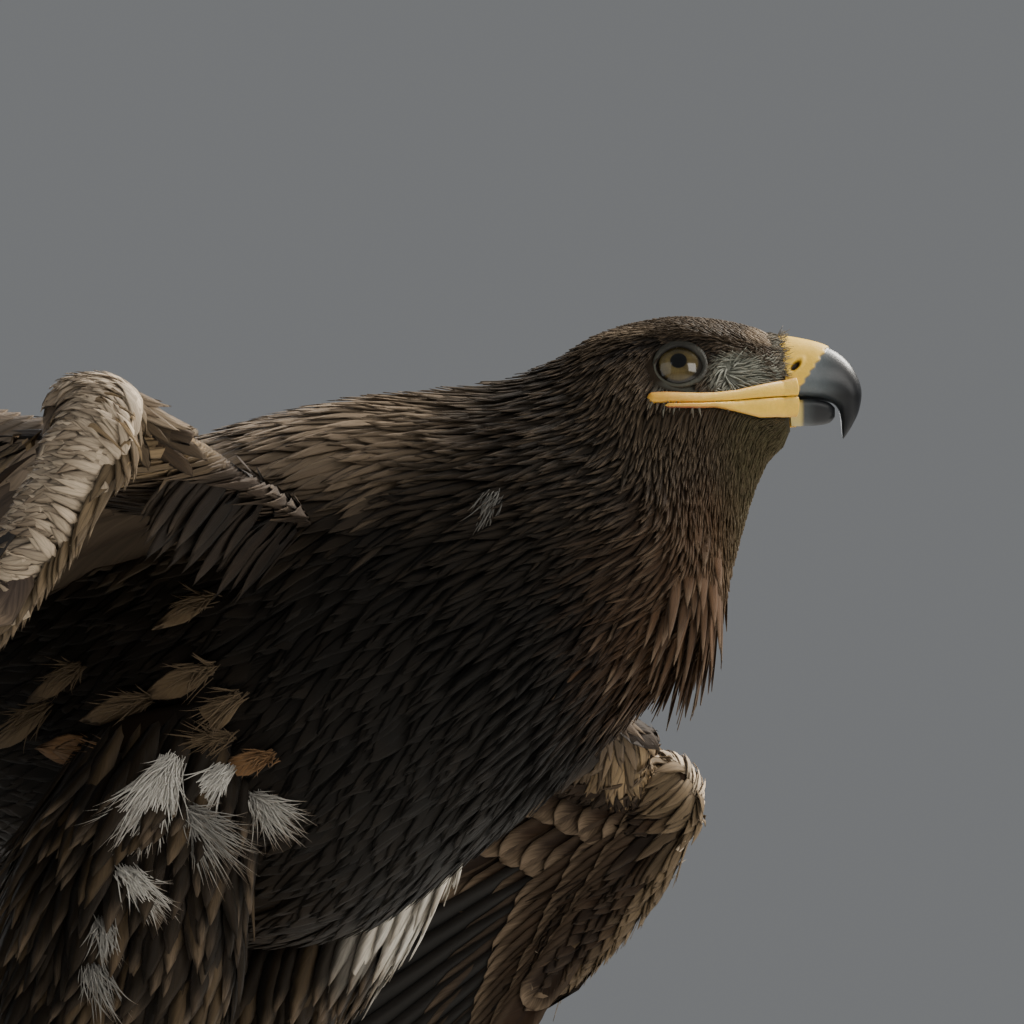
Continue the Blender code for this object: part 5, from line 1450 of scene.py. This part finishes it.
def lips():
    # flat strips above and below the line of the mouth, laid on the cheek: an oval carried along the line
    for sign, side in ((-1, "right"), (1, "left")):
        for kind, up in (("upper", 1), ("lower", -1)):
            share = np.linspace(0, 1, lipShape["steps"])
            along = blendOf(lipShape["front"], lipShape["rear"][kind], share)
            tall = np.interp(along, *lipShape[kind])
            ends = np.sqrt(np.clip(1 - np.clip((share - 0.965) / 0.035, 0, 1) ** 2, 0.0025, 1))
            height = mouthHeight(along) + up * (tall / 2 + 0.0001)
            # past the head's end the strip runs straight on over the base of the bill, narrowing with it
            base = np.minimum(along, lipShape["leavesHead"])
            point, normal = onCheek(base, height, sign)
            half = sign * (lipShape["half"] - lipShape["narrows"] * (along - base))
            start = np.full_like(half, sign * lipShape["half"])
            onward = posed(np.stack([along, half, height], -1)) - posed(np.stack([base, start, height], -1))
            line = point + normal * 0.0002 + onward
            turn = turnsOf(lipShape["sides"])[None, :, None]
            over = unit(normal)
            ahead = unit(np.gradient(line, axis=0))
            upward = unit(np.cross(over, ahead) * -sign)
            swell = (1 + 0.05 * np.sin(share * 160) ** 6)[:, None, None]
            out = np.sign(np.cos(turn)) * np.abs(np.cos(turn)) ** 0.7
            out = lipShape["thick"] * out * ends[:, None, None] * swell
            rise = (tall * ends / 2)[:, None, None] * np.sin(turn)
            rings = line[:, None] + over[:, None] * out + upward[:, None] * rise
            edge = smooth(-up * np.sin(turn), 0.55, 0.98) * np.ones((lipShape["steps"], 1, 1))
            rear = smooth(share, 0.45, 0.9)[:, None, None]
            colour = blendOf(np.array(billShape["cere"]), np.array(billShape["lip"]),
                             rear * np.ones_like(edge))
            colour = blendOf(colour, np.array(billShape["lipUnder"]), edge * (0.35 + 0.65 * rear))
            closedGrid(kind + "Lip_" + side, rings, barePaint, ("bill_" + kind,),
                       colour)


eyeShape = {
    "radius": 0.0130, "iris": (0.0074, 0.0084), "pupil": (0.0032, 0.0036), "lidInner": 0.0087,
    "lidOuter": 0.0108,
    "around": 144, "lengths": 150, "lidSteps": 200, "lidSides": 24,
    # the iris's paler colour serves both its own pale streaks and the painted light on its lower rear
    "irisColour": (0.050, 0.036, 0.012), "irisPaleAndLit": (0.120, 0.090, 0.032),
    "irisRim": (0.012, 0.009, 0.005),
    "lidColour": (0.085, 0.084, 0.062), "lidDark": (0.014, 0.012, 0.010),
}


def eyes():
    # a sphere coloured by its distance from the middle of the iris, with painted light on the lower rear of
    # the iris and a painted shadow of the upper lid over its top, and a ring for the lids
    for sign, side in ((-1, "right"), (1, "left")):
        low, high = (np.array(corner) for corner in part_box("eye_" + side))
        centre = (low + high) / 2 - shift
        point = onCheek(np.array([face["eye"][0]]), np.array([face["eye"][1]]), sign)[0]
        normal = unit(point[0] - centre)
        forward = unit(np.cross(normal, (0.0, 0.0, 1.0))) * sign
        upward = np.cross(forward, normal) * sign
        turn = turnsOf(eyeShape["around"])[None, :, None]
        polar = np.linspace(0.004, math.pi - 0.004, eyeShape["lengths"])[:, None, None]
        spoke = np.cos(turn) * forward + np.sin(turn) * upward
        rings = centre + eyeShape["radius"] * (np.sin(polar) * spoke + np.cos(polar) * normal)
        far = eyeShape["radius"] * np.sin(polar) * np.ones_like(turn)
        far = np.where(polar > math.pi / 2, 0.02, far)
        streak = (np.sin(turn * 31 + 3 * np.sin(turn * 5)) * np.sin(turn * 53 + 1.7)) * 0.5 + 0.5
        # paler towards the lower rear: painted light that comes in through the cornea, with the iris's own
        # pale streaks round it
        pale = smooth(np.cos(turn - 3.8), -0.3, 1.0) * 0.7 + 0.3 * streak
        colour = blendOf(np.array(eyeShape["irisColour"]), np.array(eyeShape["irisPaleAndLit"]), pale)
        ring = np.exp(-(((far - 0.0048) / 0.0008) ** 2)) * 0.25
        colour = colour * (1 + ring)
        colour = blendOf(colour, np.array(eyeShape["irisRim"]), smooth(far, *eyeShape["iris"]))
        # painted shadow of the upper lid over the top of the iris
        lidShadow = smooth(np.sin(polar) * np.sin(turn), 0.16, 0.52)
        colour = colour * (1 - 0.60 * lidShadow)
        colour = blendOf(np.array((0.001, 0.001, 0.001)), colour, smooth(far, *eyeShape["pupil"]))
        closedGrid("eye_" + side + "_ball", rings, eyePaint, ("eye_" + side,), colour)
        # the lids: a ring that is lower and thicker above, pointed before and behind
        steps = turnsOf(eyeShape["lidSteps"])[:, None]
        tube = turnsOf(eyeShape["lidSides"])[None, :]
        over = smooth(np.sin(steps), -0.2, 0.9)
        front = smooth(np.cos(steps), 0.3, 1.0)
        inner = eyeShape["lidInner"] - 0.0017 * over + 0.0005 * np.abs(np.cos(steps)) ** 3
        outer = eyeShape["lidOuter"] + 0.0010 * front
        middle, half = (inner + outer) / 2, (outer - inner) / 2
        out = middle + half * np.cos(tube)
        base = np.sqrt(np.maximum(eyeShape["radius"] ** 2 - middle**2, 0))
        thick = 0.0011 + 0.0009 * over
        wrinkle = 0.00012 * np.sin(out * 9000 + 2 * np.sin(steps * 3)) * (np.sin(tube) > 0)
        lift = base + 0.0004 + (thick + wrinkle) * np.sin(tube) - 0.0009 * over * np.minimum(np.cos(tube),
                                                                                             0)
        spoke = np.cos(steps)[..., None] * forward + np.sin(steps)[..., None] * upward
        ring = centre + spoke * out[..., None] + normal * lift[..., None]
        dark = np.maximum(smooth(-np.cos(tube), 0.1, 0.8),
                          np.maximum(0.75 * front, 0.8 * over) + 0 * tube)[..., None]
        colour = blendOf(np.array(eyeShape["lidColour"]), np.array(eyeShape["lidDark"]), dark)
        count, around = ring.shape[:2]
        grid = np.arange(count * around).reshape(count, around)
        quads = np.stack([grid, np.roll(grid, -1, 1), np.roll(np.roll(grid, -1, 0), -1, 1),
                          np.roll(grid, -1, 0)], -1)
        quads = quads.reshape(-1, 4)
        first = ring.reshape(-1, 3)[quads[0]]
        facing = np.cross(first[1] - first[0], first[3] - first[0]) @ (first[0] - ring[0].mean(0))
        quads = quads[:, ::-1] if facing < 0 else quads
        piece = meshPiece("lids_" + side, ring.reshape(-1, 3), quads.ravel(), np.arange(len(quads)) * 4,
                          lidPaint,
                          ("head",))
        colour = np.concatenate([colour, np.ones((count, around, 1))], -1)
        paintPoints(piece, "tint", colour.reshape(-1, 4))


def eyeMaterial():
    # the eye's colours, its painted light and shadow among them, with a fine mottle, under a clear coat
    paint = Paint("eyePaint", Specular_IOR_Level=0.3, Coat_Weight=0.55, Coat_Roughness=0.02)
    fine = paint.noise(paint.place(), 2200.0, 3.0, 0.6)
    colour = paint.shaded(paint.attribute("tint"), 0.75 + fine * 0.5)
    return paint.finish(Base_Color=colour, Roughness=0.12 + fine * 0.08)


eyePaint = eyeMaterial()
bill()
lips()
eyes()

print("feet")
footShape = {
    "at": -0.134, "palm": 0.0165, "sinks": 0.0012, "clear": 0.0002,
    "pads": (1.08, 1.08, 0.92, 1.06, 0.95, 0.62),
    "toes": {"inner": (-34, 0.046, 0.0078, 0.031), "middle": (-2, 0.060, 0.0074, 0.027),
             "outer": (33, 0.046, 0.0070, 0.023), "hind": (176, 0.034, 0.0080, 0.033)},
    "skin": (0.62, 0.43, 0.09), "sole": (0.42, 0.30, 0.10), "claw": (0.010, 0.010, 0.011),
    "clawRoot": (0.060, 0.055, 0.050),
}


def foot(side):
    # a round palm and four padded tubes for toes; each claw is a tapered tube along part of a circle
    mirror = 1 if side == "left" else -1
    centre = np.array((footShape["at"] + legShape["ahead"][side], mirror * legShape["apart"], 0.0))
    polar = np.linspace(0.02, math.pi - 0.02, 60)[:, None]
    turn = turnsOf(72)[None, :]
    radius = footShape["palm"]
    palm = np.stack([radius * np.sin(polar) * np.cos(turn), radius * np.sin(polar) * np.sin(turn),
                     radius * np.cos(polar) + 0.020 + 0 * turn], -1) + centre
    parts = [(palm, "foot_" + side)]
    for name, (angle, length, size, clawLength) in footShape["toes"].items():
        heading = math.radians(angle) * mirror
        ahead = np.array((math.cos(heading), math.sin(heading), 0.0))
        share = np.linspace(0, 1, 110)
        line = centre + ahead * (length * share)[:, None]
        line[:, 2] += size - footShape["sinks"] + 0.0075 * (1 - share) ** 2
        pads = curveRows(np.array(footShape["pads"])[:, None], share * 5)[:, 0]
        pads = pads * np.sqrt(np.clip(1 - np.clip((share - 0.97) / 0.03, 0, 1) ** 2, 0.0025, 1))
        rings, turn = tubeRings(line, size * pads, 40)
        # scutes: steps over the top, each one rising and dropping off along the toe
        period = (share * length / 0.0034) % 1.0
        top = smooth(np.sin(turn[0, :, 0]), 0.25, 0.8)
        step = 0.0007 * (1 - period) ** 0.6 * smooth(share, 0.05, 0.2)
        away = unit(rings - line[:, None])
        rings = rings + away * (step[:, None] * top[None, :])[..., None]
        parts.append((rings, name + "_toe_" + side))
        root = line[-1]
        share = np.linspace(0, 1, 60)
        radius = clawLength * 0.62
        sweep = 1.55 * share
        start = root - ahead * 0.004 + np.array((0, 0, 0.0018))
        drop = radius * (1 - np.cos(sweep)) - 0.0062 * np.sin(share * math.pi)
        room = root[2] + 0.0018 - 0.0010
        drop = drop * min(1.0, room / max(drop[-1], 1e-6))
        curve = start + ahead * (radius * np.sin(sweep))[:, None] - np.array((0, 0, 1.0)) * drop[:, None]
        radii = 0.0049 * (1 - share) ** 0.75 + 0.0003
        rings, turn = tubeRings(curve, radii, 32, 1.15)
        tone = smooth(share, 0.0, 0.35)[:, None, None] * np.ones((1, 32, 1))
        colour = blendOf(np.array(footShape["clawRoot"]), np.array(footShape["claw"]), tone)
        closedGrid(f"claw_{name}_{side}_horn", rings, clawPaint, (f"claw_{name}_{side}",),
                   colour)
    for rings, label in parts:
        rings = np.concatenate([rings[..., :2], np.maximum(rings[..., 2:], footShape["clear"])], -1)
        sole = (1 - smooth(rings[..., 2:], 0.001, 0.006))
        colour = blendOf(np.array(footShape["skin"]), np.array(footShape["sole"]), sole)
        closedGrid(label + "_skin", rings, footPaint, ("foot_" + side,),
                   colour)


foot("right")
foot("left")

print("skin")
skinShape = {"place": (0, 6, 8, 9.6, 13), "depth": (0.0035, 0.0035, 0.0030, 0.0015, 0.0005), "wing": 0.0024,
             "tail": 0.0024, "thigh": 0.0026, "shank": 0.0012}


def skinPaintOf():
    # the skin's tint, mottled by two noises
    paint = Paint("skinPaint", Specular_IOR_Level=0.15)
    place = paint.place()
    fine = paint.noise(place, 1500.0, 4.0, 0.6)
    coarse = paint.noise(place, 120.0, 3.0, 0.6)
    colour = paint.shaded(paint.attribute("tint"), 0.55 + fine * 0.5 + coarse * 0.4)
    normal = paint.node("ShaderNodeBump", {},
                        {"Strength": 0.5, "Distance": 0.0004, "Height": fine + coarse})
    return paint.finish(Base_Color=colour, Roughness=0.55 + fine * 0.2, Normal=normal)


def unposed(points):
    # finds each point's place along the middle line by stepping towards its foot, then undoes the roll
    along = points[:, 0].copy()
    for _ in range(12):
        x, y, heading = (np.interp(along, plan[0], plan[i]) for i in (1, 2, 3))
        along = along + (points[:, 0] - x) * np.cos(heading) + (points[:, 1] - y) * np.sin(heading)
    rolled = -(points[:, 0] - x) * np.sin(heading) + (points[:, 1] - y) * np.cos(heading)
    roll = bodyShape["headRoll"] * smooth(along, 0.02, 0.10)
    over = points[:, 2] - bodyShape["headAxis"]
    return np.stack([along, rolled * np.cos(roll) + over * np.sin(roll),
                     bodyShape["headAxis"] - rolled * np.sin(roll) + over * np.cos(roll)], -1)


def rawGrid(name, rings):
    # a bare closed mesh through the rings, for joining
    made = closedGrid(name, rings, skinMaterial, ())
    made.data.materials.clear()
    mesh = made.data
    bpy.data.objects.remove(made, do_unlink=True)
    return bpy.data.objects.new(name, mesh)


def skin():
    # the union of all the flesh, each piece drawn in along its normals by the depth of its coat
    depth = np.interp(placesAlong, skinShape["place"], skinShape["depth"])[:, None, None]
    target = rawGrid("skin", body.rings[::2] - body.normals[::2] * depth[::2])
    bpy.context.scene.collection.objects.link(target)
    group = bpy.data.collections.new("flesh")
    bpy.context.scene.collection.children.link(group)
    others = [(rings, skinShape["wing"]) for rings in wingFlesh] + [(tailFlesh, skinShape["tail"])]
    others += [(rings[::2], skinShape["thigh" if number % 2 == 0 else "shank"])
               for number, rings in enumerate(legFlesh)]
    for number, (rings, depth) in enumerate(others):
        surface = Surface(rings)
        group.objects.link(rawGrid(f"flesh{number}", rings - surface.normals * depth))
    modifier = target.modifiers.new("union", "BOOLEAN")
    modifier.operation = "UNION"
    modifier.operand_type = "COLLECTION"
    modifier.collection = group
    modifier.solver = "MANIFOLD"
    bpy.context.view_layer.update()
    mesh = bpy.data.meshes.new_from_object(target.evaluated_get(bpy.context.evaluated_depsgraph_get()))
    target.modifiers.clear()
    target.data = mesh
    for other in list(group.objects):
        bpy.data.objects.remove(other, do_unlink=True)
    bpy.data.collections.remove(group)
    mesh.name = "skin"
    print("skin faces", len(mesh.polygons))
    points = np.empty(len(mesh.vertices) * 3)
    mesh.vertices.foreach_get("co", points)
    points = points.reshape(-1, 3) - shift
    tint = plumageTint(unposed(points)) * 0.55
    wingPart = smooth(np.abs(points[:, 1]), 0.085, 0.10)[:, None]
    tint = blendOf(tint, np.array(wingColours["underside"]) * 1.2, wingPart)
    mesh.materials.clear()
    mesh.materials.append(skinMaterial)
    mesh.shade_smooth()
    paintPoints(target, "tint", np.concatenate([tint, np.ones((len(tint), 1))], -1))
    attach(target, "root")
    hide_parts("torso", "neck", "head", "tail", *(
        part + side for part in ("wing_arm_", "wing_hand_", "thigh_", "shank_") for side in ("left",
                                                                                             "right")))


skinMaterial = skinPaintOf()
skin()

print("stage")
viewShape = {"turn": math.radians(27), "rise": math.radians(14.5), "distance": 1.40, "lens": 117.19,
             "sensor": 36, "aim": (0.0, 0.0, 0.40), "lit": (0.05, 0, 0.33), "floor": 6,
             "floorColour": (0.50, 0.50, 0.49, 1.0), "sky": (0.62, 0.64, 0.66, 1.0), "skyLevel": 0.28}
lamps = (  # name, place, size, power, colour
    ("key", (1.1, 0.9, 1.9), 0.8, 110, (1.0, 0.95, 0.87)),
    ("side", (1.9, -0.6, 0.9), 0.9, 14, (1, 0.97, 0.92)),
    ("front", (-0.7, -1.8, 0.9), 1.6, 6, (0.95, 0.98, 1.0)),
    ("rear", (-1.6, 1.3, 1.4), 1.2, 30, (1, 1, 1)),
)


def stage():
    # a camera that looks up at the bird from its right, a pale floor, four soft lamps and a pale sky
    turn, rise = viewShape["turn"], viewShape["rise"]
    right = Vector((math.cos(turn), math.sin(turn), 0))
    back = Vector((math.sin(turn) * math.cos(rise), -math.cos(turn) * math.cos(rise), -math.sin(rise)))
    upward = back.cross(right)
    camera = bpy.data.objects.new("camera", bpy.data.cameras.new("camera"))
    bpy.context.scene.collection.objects.link(camera)
    matrix = camera.matrix_world.copy()
    aim = Vector(viewShape["aim"]) + Vector(shift)
    place = aim + back * viewShape["distance"]
    for row in range(3):
        matrix[row][0], matrix[row][1], matrix[row][2] = right[row], upward[row], back[row]
        matrix[row][3] = place[row]
    camera.matrix_world = matrix
    camera.data.lens = viewShape["lens"]
    camera.data.sensor_width = viewShape["sensor"]
    bpy.context.scene.camera = camera
    floorMesh = bpy.data.meshes.new("floor")
    far = viewShape["floor"]
    floorMesh.from_pydata([(-far, -far, 0), (far, -far, 0), (far, far, 0), (-far, far, 0)], [],
                          [(0, 1, 2, 3)])
    floor = bpy.data.objects.new("floor", floorMesh)
    bpy.context.scene.collection.objects.link(floor)
    paint = Paint("floorPaint", Base_Color=viewShape["floorColour"], Roughness=0.7)
    floorMesh.materials.append(paint.material)
    for name, where, size, power, colour in lamps:
        lamp = bpy.data.objects.new(name, bpy.data.lights.new(name, "AREA"))
        bpy.context.scene.collection.objects.link(lamp)
        lamp.data.size, lamp.data.energy, lamp.data.color = size, power, colour
        lamp.location = where
        aimAt = Vector(viewShape["lit"]) - lamp.location
        lamp.rotation_euler = aimAt.to_track_quat("-Z", "Y").to_euler()
    world = bpy.data.worlds.new("world")
    bpy.context.scene.world = world
    world.use_nodes = True
    sky = world.node_tree.nodes["Background"]
    sky.inputs["Color"].default_value = viewShape["sky"]
    sky.inputs["Strength"].default_value = viewShape["skyLevel"]


stage()
